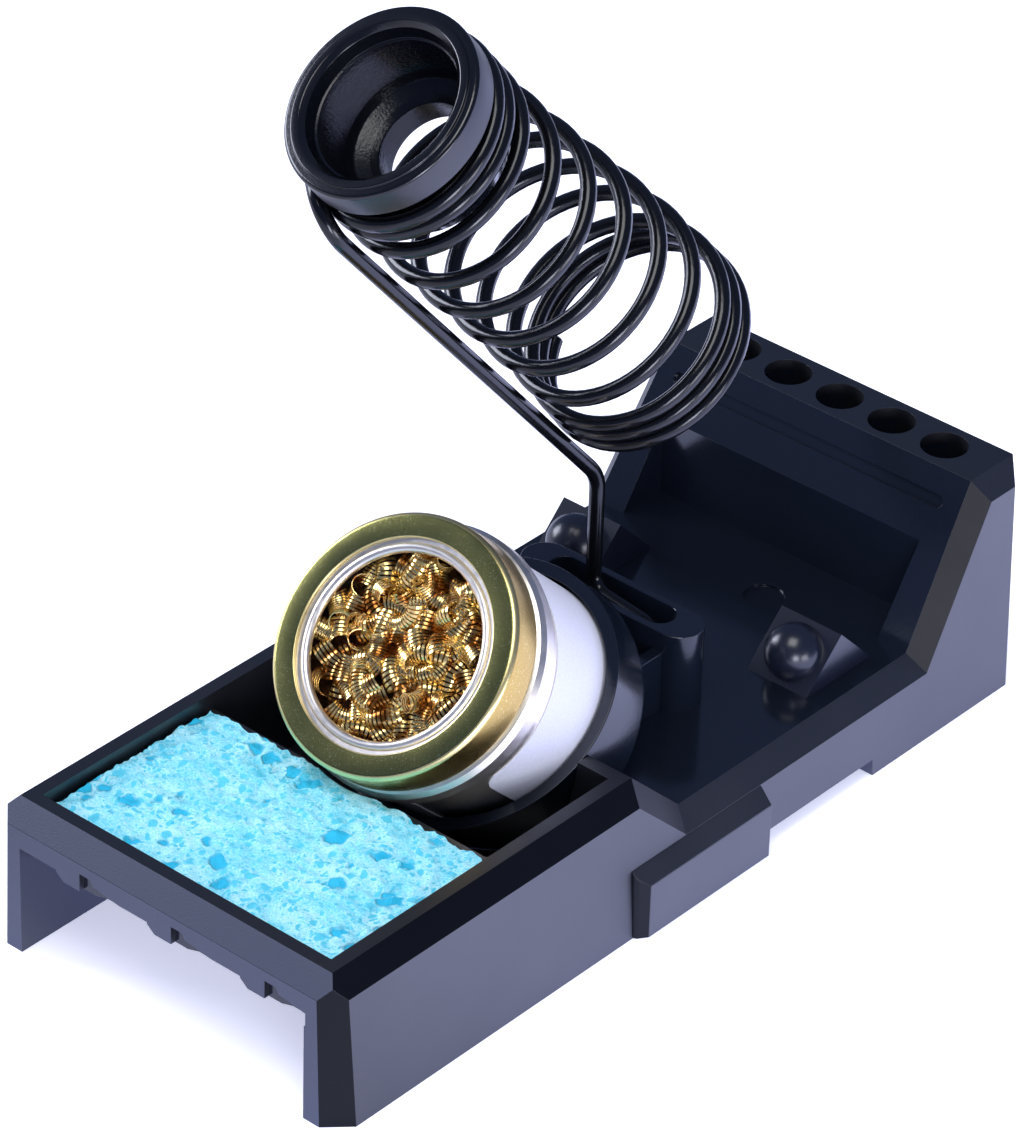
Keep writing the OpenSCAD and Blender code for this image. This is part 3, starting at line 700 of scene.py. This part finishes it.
@dataclass
class Base:
    """The moulded base and everything moulded on it.

    Edges over crease degrees are rounded. The last five sort faces: how far a normal leans, and
    the most square mm in a strip of the parting line.
    """

    deck_z: float = 17.9
    sunk: float = 1
    touch: float = 0.1
    deck_half: float = 35.5
    deck_front: float = -14.5
    front_y: float = -86.5
    beam_z: float = 24.0
    scoop_y: float = -91.2
    parting_z: float = 25.6
    rack_y: float = 84.5
    rack_z: float = 44.9
    edge: float = 0.22
    edge_steps: int = 3
    weld: float = 0.003
    flat: float = 0.6
    crease: float = 20
    slight: float = 0.2
    leaning: float = 0.3
    facing: float = 0.6
    level: float = 0.95
    strip: float = 20.0

    def build(self, nodes: dict[str, Shape]) -> None:
        """Models and dresses each moulding.

        Args:
            nodes: the CAD nodes by name.
        """
        for name, finish, skip in (
            ("base_shell", SATIN, None),
            ("side_foot_left", SATIN, None),
            ("side_foot_right", SATIN, None),
            ("tin_cup", GLOSSY_AND_SCOOP_SHADE, None),
            ("holder_post", GLOSSY_AND_SCOOP_SHADE, self.on_deck),
            ("post_webs", GLOSSY_AND_SCOOP_SHADE, self.on_deck),
            ("rest_block_left", DOMED, self.on_deck),
            ("rest_block_right", DOMED, self.on_deck),
        ):
            piece = self.moulded(nodes[name], name + "_moulding", skip)
            hand_over(piece, Body.BASE, finish, name)
            if name == "base_shell":
                paint(piece, self.shell_finish, SATIN, GLOSSY_AND_SCOOP_SHADE, FASCIA, CORNER)
            elif finish is SATIN:
                paint(piece, self.foot_finish, SATIN, CORNER)
        coat(nodes["tip_wells"], GLOSSY_AND_SCOOP_SHADE)

    def moulded(self, node: Shape, name: str, skip: Skip) -> Shape:
        """Models a part from its CAD node, with its edges rounded as a mould leaves them.

        Args:
            node: the CAD node, which is left as it is.
            name: the new piece's name.
            skip: says whether an edge with this middle, in mm, stays sharp, if any does.

        Returns:
            The new piece.
        """
        select_only(node)
        bpy.ops.object.duplicate()
        piece = bpy.context.object
        bpy.ops.object.parent_clear(type="CLEAR_KEEP_TRANSFORM")
        for key in [key for key in piece.keys() if key.startswith("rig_")]:
            del piece[key]
        piece.name = piece.data.name = name
        piece.hide_render = False
        bpy.ops.mesh.customdata_custom_splitnormals_clear()

        def wanted(edge: Any) -> bool:
            """Says whether an edge of the moulding is rounded."""
            middle = (edge.verts[0].co + edge.verts[1].co) / 2 / MM
            bent = len(edge.link_faces) == 2 and edge.calc_face_angle() > math.radians(self.crease)
            return bent and not (skip and skip(middle))

        with editing(piece):
            bpy.ops.mesh.remove_doubles(threshold=self.weld * MM)
            bpy.ops.mesh.dissolve_limited(angle_limit=math.radians(self.flat))
            choose_edges(piece, wanted)
            bpy.ops.mesh.bevel(offset=self.edge * MM, segments=self.edge_steps, clamp_overlap=True)
        smooth(piece, degrees=40)
        modify(piece, "WEIGHTED_NORMAL", keep_sharp=True, weight=100)
        return piece

    def on_deck(self, middle: Vector) -> bool:
        """Says whether an edge with this middle runs along the deck, where it stays sharp."""
        return abs(middle.z - self.deck_z) < self.touch

    def foot_finish(self, face: Any) -> Finish:
        """Picks the finish of one face of a side foot, with painted shade on its front end."""
        return CORNER if face.normal.y < -self.leaning else SATIN

    def shell_finish(self, face: Any) -> Finish:
        """Picks the finish of one face of the base shell.

        Args:
            face: the face.

        Returns:
            Polished inside the rims, and in the scoops where it paints their shade; painted shade
            on slanted chamfers, the right leg's front and along the parting line; coarse and
            painted lighter on the front beam; satin elsewhere.
        """
        x, y, z = face.center / MM
        lean = face.normal
        inside = abs(x) < self.deck_half and z > self.deck_z - self.sunk and y > self.deck_front
        slope = y < self.rack_y and z < self.rack_z and lean.z < self.level
        if inside and (slope or z < self.deck_z + self.touch):
            return GLOSSY_AND_SCOOP_SHADE
        # Slanted chamfers: painted shade.
        slant = lean.z > self.leaning and abs(lean.x) > self.leaning
        if slant and (abs(lean.y) > self.slight or y < self.deck_front):
            return CORNER
        if y >= self.front_y:
            return SATIN
        # The parting line's strip and the right leg's front: painted shade.
        strip = abs(z - self.parting_z) < self.edge and face.area < self.strip * MM * MM
        post = lean.x > self.leaning and lean.y < -self.leaning and z < self.beam_z
        if strip or post:
            return CORNER
        # Front faces of the beam: painted lighter for the floor light they catch.
        if lean.y < -self.facing and abs(lean.x) < self.leaning:
            # In the scoops the polished finish is painted shade for their recess.
            return GLOSSY_AND_SCOOP_SHADE if y > self.scoop_y and z < self.beam_z else FASCIA
        return SATIN


@dataclass
class TinFrame:
    """The leaning axis that the tin, its lid and its wool share."""

    lid_y: float = -35.2
    lid_z: float = 50.4
    tilt: float = 46.5

    def place(self) -> Matrix:
        """The place of the lid face's centre, with the tin towards -Z."""
        spot = Matrix.Translation((0, self.lid_y * MM, self.lid_z * MM))
        return spot @ Matrix.Rotation(math.radians(self.tilt), 4, "X")


@dataclass
class Tin(TinFrame):
    """The can with its bead and paper band."""

    can_r: float = 23.0
    label_start: float = 15.7
    label_end: float = 38.7
    label_turn: float = -35.0
    label_span: float = 325.0
    paper: float = 0.2
    lift: float = 0.01
    corner: float = 3.0
    corner_steps: int = 8
    slices: int = 120

    def build(self, nodes: dict[str, Shape]) -> None:
        """Dresses the can and models the paper band.

        Args:
            nodes: the CAD nodes by name.
        """
        coat(nodes["tin_can"], PALE_TIN)
        hand_over(self.label(), Body.TIN, PAPER, "tin_label")

    def label(self) -> Shape:
        """Models the paper band from a flat sheet with rounded corners, wrapped on the can.

        Returns:
            The band, in place.
        """
        arc = math.radians(self.label_span)
        width, length = arc * self.can_r, self.label_end - self.label_start
        sheet = fresh("label_band", bpy.ops.mesh.primitive_plane_add, size=1)
        sheet.scale = (width * MM, length * MM, 1)
        settle(sheet)
        with editing(sheet):
            size = {"offset": self.corner * MM, "segments": self.corner_steps}
            bpy.ops.mesh.bevel(**size, affect="VERTICES")
            for k in range(1, self.slices):
                bpy.ops.mesh.select_all(action="SELECT")
                x = (k / self.slices - 0.5) * width * MM
                bpy.ops.mesh.bisect(plane_co=(x, 0, 0), plane_no=(1, 0, 0))
        radius = (self.can_r + self.lift) * MM
        for vert in sheet.data.vertices:
            turn = vert.co.x / MM / self.can_r + math.radians(self.label_turn) + arc / 2
            height = -(self.label_start + self.label_end) / 2 * MM + vert.co.y
            vert.co = (radius * math.cos(turn), radius * math.sin(turn), height)
        with editing(sheet):
            face_out()
        modify(sheet, "SOLIDIFY", thickness=(self.paper - 2 * self.lift) * MM, offset=1.0)
        smooth(settle(sheet, self.place()))
        return sheet


@dataclass
class Lid(TinFrame):
    """The lid's gold ring and the pale rolled ring inside it."""

    outer_r: float = 23.55
    open_r: float = 19.0
    skirt: float = 7.2
    sheet: float = 0.6
    ring_r: float = 16.5
    roll: float = 0.9
    roll_start: float = 25
    roll_step: float = 15
    roll_count: int = 22
    hem: float = 1.2
    bend: float = 0.3
    level: float = 0.97
    upright: float = 0.25

    def build(self) -> None:
        """Models and dresses both rings."""
        under_r = self.outer_r - self.sheet
        top = [(self.open_r, -self.sheet, 0.15), (self.open_r, 0, 0.2), (self.outer_r, 0, 1.1)]
        side = [(self.outer_r, -self.skirt, 0.25), (under_r, -self.skirt, 0.25)]
        section = [*top, *side, (under_r, -self.sheet, 0.3)]
        lid = turned("lid_ring", rounded(section))
        smooth(settle(lid, self.place()))
        hand_over(lid, Body.LID, GOLD_TIN, "tin_lid")
        paint(lid, self.finish, GOLD_TIN, GOLD_SKIRT, GOLD_HIGHLIGHT)
        reach, low = self.ring_r + self.roll, -2 * self.sheet
        turns = (math.radians(self.roll_start + self.roll_step * k) for k in range(self.roll_count))
        roll = [(reach + self.roll * math.cos(a), low + self.roll * math.sin(a)) for a in turns]
        band = [(self.open_r + self.hem, low), (self.open_r + self.hem, -self.sheet)]
        ring = turned("inner_ring", roll + band)
        smooth(settle(ring, self.place()))
        hand_over(ring, Body.LID, PALE_TIN, "tin_inner_ring")

    def finish(self, face: Any) -> Finish:
        """Picks the finish of one face of the gold ring.

        Args:
            face: the face.

        Returns:
            Painted highlight on the bends and the inner wall, olive on the flat and painted warmer
            on the skirt.
        """
        axis = self.place().to_3x3() @ Vector((0, 0, 1))
        apart = face.center - self.place().translation
        if (apart - axis * apart.dot(axis)).length < (self.open_r + self.bend) * MM:
            return GOLD_HIGHLIGHT
        along = abs(face.normal.dot(axis))
        return GOLD_TIN if along > self.level else GOLD_SKIRT if along < self.upright else GOLD_HIGHLIGHT


@dataclass
class BrassWool(TinFrame):
    """Tight curls of brass ribbon heaped in the tin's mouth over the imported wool.

    The kinds of curl come as turns, bend in degrees and share of the radius. Outside upright_r
    the curls lie flatter, so that none stands over the ring.
    """

    curl_r: float = 2.1
    ribbon: float = 0.4
    thick: float = 0.11
    pitch: float = 0.66
    steps: int = 16
    kinds: tuple[Triple, ...] = ((11, 80, 1.0), (8, 25, 0.9), (14, 120, 0.8), (5, 10, 1.1))
    count: int = 84
    seed: int = 7
    heap_r: float = 16.7
    golden_turn: float = 2.39996
    stray: float = 0.2
    top: float = -2.7
    slump: float = 1.8
    slump_r: float = 17
    loose: float = 1.5
    upright_r: float = 12
    least_lean: float = 40
    rim_lean: float = 62
    most_lean: float = 100
    bed: tuple[Triple, ...] = (
        (0.4, -4.6, 0), (14, -5.0, 1), (21.5, -7.4, 1.5), (21.5, -39.2, 0.5), (0.4, -39.2, 0),
    )

    def build(self) -> None:
        """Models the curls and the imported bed, and dresses them."""
        # The bed is a dark sheet of painted shade under the curls, for the gaps between them.
        bed = turned("wool_bed", rounded(self.bed), sides=48, joined=False)
        smooth(settle(bed, self.place()), degrees=60)
        hand_over(bed, Body.TIN, SHADED_WOOL)
        curls = settle(self.heap(), self.place())
        smooth(curls, degrees=50)
        hand_over(curls, Body.TIN, SWARF, "brass_wool")

    def curl(self, turns: int, bend: float, radius: float) -> Shape:
        """Models one curl: a thin ribbon wound into a spring, its axis bowed.

        Args:
            turns: how many turns it has.
            bend: how far its axis bends, degrees.
            radius: its radius, mm.

        Returns:
            The curl, centred on the origin, along Z.
        """
        upright = (math.pi / 2, 0, 0)
        piece = fresh("curl", bpy.ops.mesh.primitive_plane_add, size=1, rotation=upright)
        piece.scale = (self.thick * MM, self.ribbon * MM, 1)
        piece.location = (radius * MM, 0, 0)
        settle(piece)
        with editing(piece):
            bpy.ops.mesh.delete(type="ONLY_FACE")
        steps = {"steps": self.steps, "render_steps": self.steps, "use_merge_vertices": False}
        rise = {"angle": math.tau, "axis": "Z", "screw_offset": self.pitch * MM}
        modify(piece, "SCREW", iterations=turns, **rise, **steps)
        piece.location = (0, 0, -turns * self.pitch / 2 * MM)
        settle(piece)
        bow = {"deform_method": "BEND", "deform_axis": "Y", "angle": math.radians(bend)}
        modify(piece, "SIMPLE_DEFORM", **bow)
        with editing(piece):
            choose_rims(piece)
            bpy.ops.mesh.edge_face_add()
            face_out()
        return piece

    def heap(self) -> Shape:
        """Copies a few curls into a heap that fills the tin's mouth.

        Returns:
            All the curls as one piece, round the tin's axis.
        """
        chance = random.Random(self.seed)
        models = [self.curl(turns, bend, self.curl_r * share) for turns, bend, share in self.kinds]
        copies = []
        for k in range(self.count):
            reach = self.heap_r * math.sqrt((k + 0.5) / self.count)
            turn = k * self.golden_turn + chance.uniform(-self.stray, self.stray)
            select_only(models[k % len(models)])
            bpy.ops.object.duplicate()
            copy = bpy.context.object
            heading = Matrix.Rotation(chance.uniform(0, math.tau), 4, "Z")
            least = self.least_lean if reach < self.upright_r else self.rim_lean
            lean = math.radians(chance.uniform(least, self.most_lean))
            spin = Matrix.Rotation(chance.uniform(0, math.tau), 4, "Z")
            depth = self.top - self.slump * (reach / self.slump_r) ** 2
            depth -= chance.uniform(0, self.loose)
            spot = (reach * math.cos(turn) * MM, reach * math.sin(turn) * MM, depth * MM)
            tipped = heading @ Matrix.Rotation(lean, 4, "X")
            copy.matrix_world = Matrix.Translation(spot) @ tipped @ spin
            copies.append(copy)
        for model in models:
            bpy.data.objects.remove(model)
        select_only(*copies)
        bpy.ops.object.join()
        heap = bpy.context.object
        heap.name = heap.data.name = "wool_curls"
        return settle(heap)


@dataclass
class Sponge:
    """The cellulose sponge in the tray.

    A layer of skin comes as its texture, its size and strength in mm, and the value that stays
    where it is. The nap is how far a fibre may stand over the top.
    """

    width: float = 64.0
    front_y: float = -84.7
    rear_y: float = -45.9
    low_z: float = 20.3
    thick: float = 7.2
    cell: float = 0.55
    skin: tuple[tuple[str, float, float, float], ...] = (
        ("CLOUDS", 7.0, 0.7, 0.5),
        ("CLOUDS", 1.1, 0.9, 0.55),
        ("VORONOI", 2.6, 0.9, 0.75),
    )
    nap: float = 0.3
    tin: TinFrame = field(default_factory=TinFrame)
    tin_clear: float = 25.0

    def build(self) -> None:
        """Models the sponge as a grid drawn down in layers, then works its skin and edges."""
        length = self.rear_y - self.front_y
        across, along = round(self.width / self.cell), round(length / self.cell)
        cells = {"x_subdivisions": across, "y_subdivisions": along, "size": 1}
        spot = (0, (self.front_y + self.rear_y) / 2 * MM, (self.low_z + self.thick) * MM)
        sponge = fresh("sponge_pad", bpy.ops.mesh.primitive_grid_add, location=spot, **cells)
        sponge.scale = (self.width * MM, length * MM, 1)
        settle(sponge)
        layers = round(self.thick / self.cell)
        step = {"value": (0, 0, -self.thick / layers * MM)}
        with editing(sponge):
            for _ in range(layers):
                bpy.ops.mesh.extrude_region_move(TRANSFORM_OT_translate=step)
            face_out()
        self.work_skin(sponge)
        self.press(sponge)
        smooth(sponge, degrees=80)
        hand_over(sponge, Body.SPONGE, SPONGE, "sponge")

    def work_skin(self, sponge: Shape) -> None:
        """Roughens the sponge's skin and pulls its pores in.

        Args:
            sponge: the sponge's mesh, in place.
        """
        for kind, size, strength, middle in self.skin:
            texture = bpy.data.textures.new("sponge " + kind.lower(), kind)
            texture.noise_scale = size * MM
            modify(sponge, "DISPLACE", texture=texture, strength=strength * MM, mid_level=middle)

    def press(self, sponge: Shape) -> None:
        """Keeps the sponge inside its tray and clear of the tin, as pressed foam would be.

        Args:
            sponge: the sponge's mesh, in place.
        """
        out = self.tin.place()
        into = out.inverted()
        clear = self.tin_clear * MM
        half = self.width / 2 * MM
        low, high = self.low_z * MM, (self.low_z + self.thick) * MM
        for vert in sponge.data.vertices:
            spot = into @ vert.co
            reach = math.hypot(spot.x, spot.y)
            if reach < clear:
                spot.x *= clear / reach
                spot.y *= clear / reach
                vert.co = out @ spot
            vert.co.x = min(max(vert.co.x, -half), half)
            vert.co.y = min(max(vert.co.y, self.front_y * MM), self.rear_y * MM)
            vert.co.z = min(max(vert.co.z, low), high + self.nap * MM)


@dataclass
class HolderFrame:
    """The turned frame that the wire holder and its funnel share, on the leg's axis."""

    leg: Pair = (-5.3, 23.598)
    turn: float = -8.0
    tilt: float = 38.9
    mouth: Triple = (1.17, -52.15, 147.4)

    def place(self) -> Matrix:
        """The place of the leg's foot on the floor."""
        spot = Matrix.Translation((self.leg[0] * MM, self.leg[1] * MM, 0))
        return spot @ Matrix.Rotation(math.radians(self.turn), 4, "Z")

    def axes(self) -> tuple[Vector, Vector]:
        """The coil axis out of the funnel's mouth, and upwards across it."""
        sine, cosine = math.sin(math.radians(self.tilt)), math.cos(math.radians(self.tilt))
        return Vector((0, -sine, cosine)), Vector((0, cosine, sine))


@dataclass
class WireHolder(HolderFrame):
    """One black wire: pin, tail, leg, arm, crook and coil.

    The coil is close, then open, then close again. Each change comes as the mm that it adds to a
    turn, the turn it starts at and how many it eases in over. Gaps and runs count from the mouth.
    """

    wire_r: float = 1.45
    wire_sides: int = 4
    end_share: float = 0.72
    end_cuts: Pair = (0.35, 0.6)
    weld: float = 0.002
    foot_z: float = 31.1
    pin_z: float = 19.6
    tail: float = 16.6
    elbow_z: float = 54.7
    crook_drop: float = 21.0
    foot_bend: float = 3.5
    elbow_bend: float = 8
    crook_bend: float = 6.9
    bend_steps: int = 14
    turn_steps: int = 64
    coil_r: float = 17.0
    coil_grow: float = 2.3
    grow_gap: float = 20
    grow_run: float = 78
    grow_power: float = 1.3
    coil_bow: float = 4.1
    bow_gap: float = 12
    bow_run: float = 70
    ring_s: float = 7.85
    first_step: Triple = (3.2, -0.25, 0.55)
    changes: tuple[Triple, ...] = ((5, 0.5, 0.4), (6.3, 1.74, 0.5), (-7.8, 7.63, 0.5))
    last_turn: float = 10.44

    def build(self) -> None:
        """Models the wire along its whole path and dresses it."""
        points = self.path()
        near, far = self.end_cuts
        first = (points[1] - points[0]).normalized()
        last = (points[-2] - points[-1]).normalized()
        head = [points[0], points[0] + first * near, points[0] + first * far]
        foot = [points[-1] + last * far, points[-1] + last * near, points[-1]]
        line = head + points[1:-1] + foot
        curve = bpy.data.curves.new("holder_wire", "CURVE")
        curve.dimensions = "3D"
        curve.bevel_depth = self.wire_r * MM
        curve.bevel_resolution = self.wire_sides
        curve.use_fill_caps = True
        spline = curve.splines.new("POLY")
        spline.points.add(len(line) - 1)
        for point, spot in zip(spline.points, line):
            point.co = (*(spot * MM), 1)
        for k in (0, -1):
            spline.points[k].radius = self.end_share
        wire = bpy.data.objects.new("holder_wire", curve)
        bpy.context.scene.collection.objects.link(wire)
        select_only(wire)
        bpy.ops.object.convert(target="MESH")
        wire = bpy.context.object
        with editing(wire):
            bpy.ops.mesh.remove_doubles(threshold=self.weld * MM)
            face_out()
        smooth(settle(wire, self.place()), degrees=40)
        shank = ("holder_leg", "holder_arm", "holder_crook")
        hand_over(wire, Body.HOLDER, ENAMEL, *shank, "coil_front", "coil_open", "coil_rear")

    @staticmethod
    def slope(x: float, width: float) -> float:
        """A ramp that eases in over a width."""
        return 0.0 if x < 0 else x * x / (2 * width) if x < width else x - width / 2

    @staticmethod
    def ease(x: float) -> float:
        """A soft step from 0 to 1."""
        x = min(max(x, 0.0), 1.0)
        return x * x * (3 - 2 * x)

    def turn_point(self, turn: float) -> Vector:
        """The wire's middle line in the coil.

        Args:
            turn: how many turns from the funnel.

        Returns:
            The point, mm, in the holder's frame.
        """
        step, at, run = self.first_step
        s = self.ring_s + step * self.ease((turn - at) / run)
        for more, at, run in self.changes:
            s += more * self.slope(turn - at, run)
        radius = self.coil_r
        if s >= self.grow_gap:
            radius += self.coil_grow * ((s - self.grow_gap) / self.grow_run) ** self.grow_power
        angle = -math.tau * turn
        bow = self.coil_bow * self.ease((s - self.bow_gap) / self.bow_run)
        out, up = self.axes()
        across = Vector((radius * math.cos(angle), 0, 0))
        return Vector(self.mouth) - out * s + up * (bow + radius * math.sin(angle)) + across

    def path(self) -> list[Vector]:
        """The wire's middle line, with its bends rounded.

        Returns:
            Its points, mm, in the holder's frame.
        """
        out, up = self.axes()
        crook = Vector(self.mouth) - out * self.ring_s - up * self.crook_drop
        start = (90 + math.degrees(math.acos(self.coil_r / self.crook_drop))) / 360 - 1
        corners = [
            (Vector((self.tail, 0, self.pin_z)), 0),
            (Vector((self.tail, 0, self.foot_z)), self.foot_bend),
            (Vector((0, 0, self.foot_z)), self.foot_bend),
            (Vector((0, 0, self.elbow_z)), self.elbow_bend),
            (crook, self.crook_bend),
            (self.turn_point(start), 0),
        ]
        points = [corners[0][0]]
        for (before, _), (here, radius), (after, _) in zip(corners, corners[1:], corners[2:]):
            back, ahead = (before - here).normalized(), (after - here).normalized()
            half = back.angle(ahead) / 2
            centre = here + (back + ahead).normalized() * (radius / math.sin(half))
            first = here + back * (radius / math.tan(half)) - centre
            final = here + ahead * (radius / math.tan(half)) - centre
            for k in range(self.bend_steps + 1):
                arm = first.slerp(final, k / self.bend_steps).normalized()
                points.append(centre + arm * radius)
        run = self.last_turn - start
        steps = round(run * self.turn_steps)
        return points + [self.turn_point(start + run * k / steps) for k in range(steps + 1)]


@dataclass
class Funnel(HolderFrame):
    """The guide funnel in the coil's mouth.

    Its section runs down the outside and back up through the bore. Below the lip it is turned
    within turned_r and dulled beyond rim_r.
    """

    turned_r: float = 13.7
    rim_r: float = 17.5
    lip: float = 1
    section: tuple[Triple, ...] = (
        (13.9, -0.9, 0.3), (14.8, 0, 0.35), (16.2, 0, 0.25), (16.3, -0.4, 0.1),
        (17.8, -0.4, 0.7), (17.8, -6.2, 0.35), (15.58, -6.2, 0.15), (15.58, -16, 0.4),
        (13.1, -21, 0.5), (9.1, -21, 0.4), (8.2, -20.1, 0.2), (8.2, -15.4, 0.4),
        (9.4, -14.5, 0.4), (11.8, -13.6, 0.8), (12.7, -12.1, 0.4), (13.2, -5.4, 0.1),
        (12.9, -5.2, 0.1), (13.0, -3.4, 0.1), (13.4, -3.2, 0.15),
    )

    def build(self) -> None:
        """Models the funnel as turned, with its steps and rounded edges."""
        piece = turned("guide_funnel", rounded(self.section))
        smooth(settle(piece, self.mouth_place()), degrees=28)
        hand_over(piece, Body.HOLDER, BAKELITE, "funnel")
        paint(piece, self.finish, BAKELITE, TURNED, HANDLED)

    def mouth_place(self) -> Matrix:
        """The place of the funnel's mouth, with the funnel towards -Z."""
        lean = Matrix.Rotation(math.radians(self.tilt), 4, "X")
        return self.place() @ Matrix.Translation(Vector(self.mouth) * MM) @ lean

    def finish(self, face: Any) -> Finish:
        """Picks the finish of one face of the funnel.

        Args:
            face: the face.

        Returns:
            Tool marks in the bowl and the bore, dulled on the outside and polished between.
        """
        centre = self.mouth_place().inverted() @ face.center / MM
        reach = math.hypot(centre.x, centre.y)
        if centre.z >= -self.lip:
            return BAKELITE
        return TURNED if reach < self.turned_r else HANDLED if reach > self.rim_r else BAKELITE


@dataclass
class Studio:
    """Floor, backdrop, softboxes and camera. The lamps come as name, place, side, W and tint."""

    position: Triple = (538.84, -638.94, 603.17)
    right: Triple = (0.7504, 0.6605, 0.0262)
    up: Triple = (-0.3818, 0.4008, 0.8328)
    back: Triple = (0.5396, -0.6349, 0.5529)
    lens: float = 184.71
    sensor: float = 36
    floor_m: float = 12
    sight_m: float = 30
    aim_at: Triple = (0, 0, 40)
    lamps: tuple[tuple[str, Triple, float, float, str], ...] = (
        ("left softbox", (-980, -300, 430), 500, 8.0, "#e8edff"),
        ("side softbox", (950, -150, 70), 400, 3.4, "#f2f2ff"),
        ("low softbox", (620, -560, 150), 260, 2.6, "#e8edff"),
        ("top softbox", (150, -350, 1100), 600, 5.0, "#ffffff"),
    )

    def build(self) -> None:
        """Sets up the studio round the object."""
        self.floor()
        self.sky()
        for lamp in self.lamps:
            self.lamp(*lamp)
        self.camera()

    def floor(self) -> None:
        """Lays the white card."""
        floor = fresh("floor_card", bpy.ops.mesh.primitive_plane_add, size=self.floor_m)
        with editing(floor):
            bpy.ops.mesh.subdivide(number_cuts=3)
        floor.data.materials.append(CARD.material())

    def sky(self) -> None:
        """Makes the backdrop white to the camera, pale for its light and deep blue in mirrors."""
        world = bpy.data.worlds.new("studio")
        bpy.context.scene.world = world
        world.use_nodes = True
        nodes = Nodes(world.node_tree)
        nodes.tree.nodes.clear()
        rays = nodes.add("LightPath").outputs
        white, pale, deep = [
            nodes.add("Background", {"Color": colour(tint), "Strength": strength}).outputs[0]
            for tint, strength in (("#ffffff", 1.0), ("#e6eaff", 0.85), ("#8fa8e8", 0.3))
        ]
        unseen = nodes.add("MixShader", {0: rays["Is Glossy Ray"], 1: pale, 2: deep}).outputs[0]
        whole = nodes.add("MixShader", {0: rays["Is Camera Ray"], 1: unseen, 2: white})
        nodes.add("OutputWorld", {"Surface": whole.outputs[0]})

    def lamp(self, name: str, spot: Triple, size: float, power: float, tint: str) -> None:
        """Hangs a square softbox that faces the station.

        Args:
            name: the lamp's name.
            spot: its place, mm.
            size: its side, mm.
            power: its power, W.
            tint: its colour.
        """
        place = [c * MM for c in spot]
        lamp = fresh(name, bpy.ops.object.light_add, type="AREA", location=place)
        lamp.data.size = size * MM
        lamp.data.energy = power
        lamp.data.color = colour(tint)[:3]
        aim = Vector(self.aim_at) - Vector(spot)
        lamp.rotation_euler = aim.to_track_quat("-Z", "Y").to_euler()

    def camera(self) -> None:
        """Puts the camera where it sees the station from the front right."""
        camera = fresh("camera", bpy.ops.object.camera_add)
        axes = Matrix((self.right, self.up, self.back)).transposed().to_4x4()
        camera.matrix_world = Matrix.Translation([c * MM for c in self.position]) @ axes
        camera.data.sensor_fit = "VERTICAL"
        camera.data.sensor_height = self.sensor
        camera.data.lens = self.lens
        camera.data.clip_end = self.sight_m
        bpy.context.scene.camera = camera


def main() -> None:
    """Builds the studio and the station, piece by piece."""
    logging.basicConfig(level=logging.INFO, format="%(name)s: %(message)s")
    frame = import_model()
    bpy.context.scene.view_settings.view_transform = "Standard"
    nodes = frame["nodes"]
    Studio().build()
    Base().build(nodes)
    Tin().build(nodes)
    Lid().build()
    BrassWool().build()
    Sponge().build()
    WireHolder().build()
    Funnel().build()


if __name__ == "__main__":
    main()
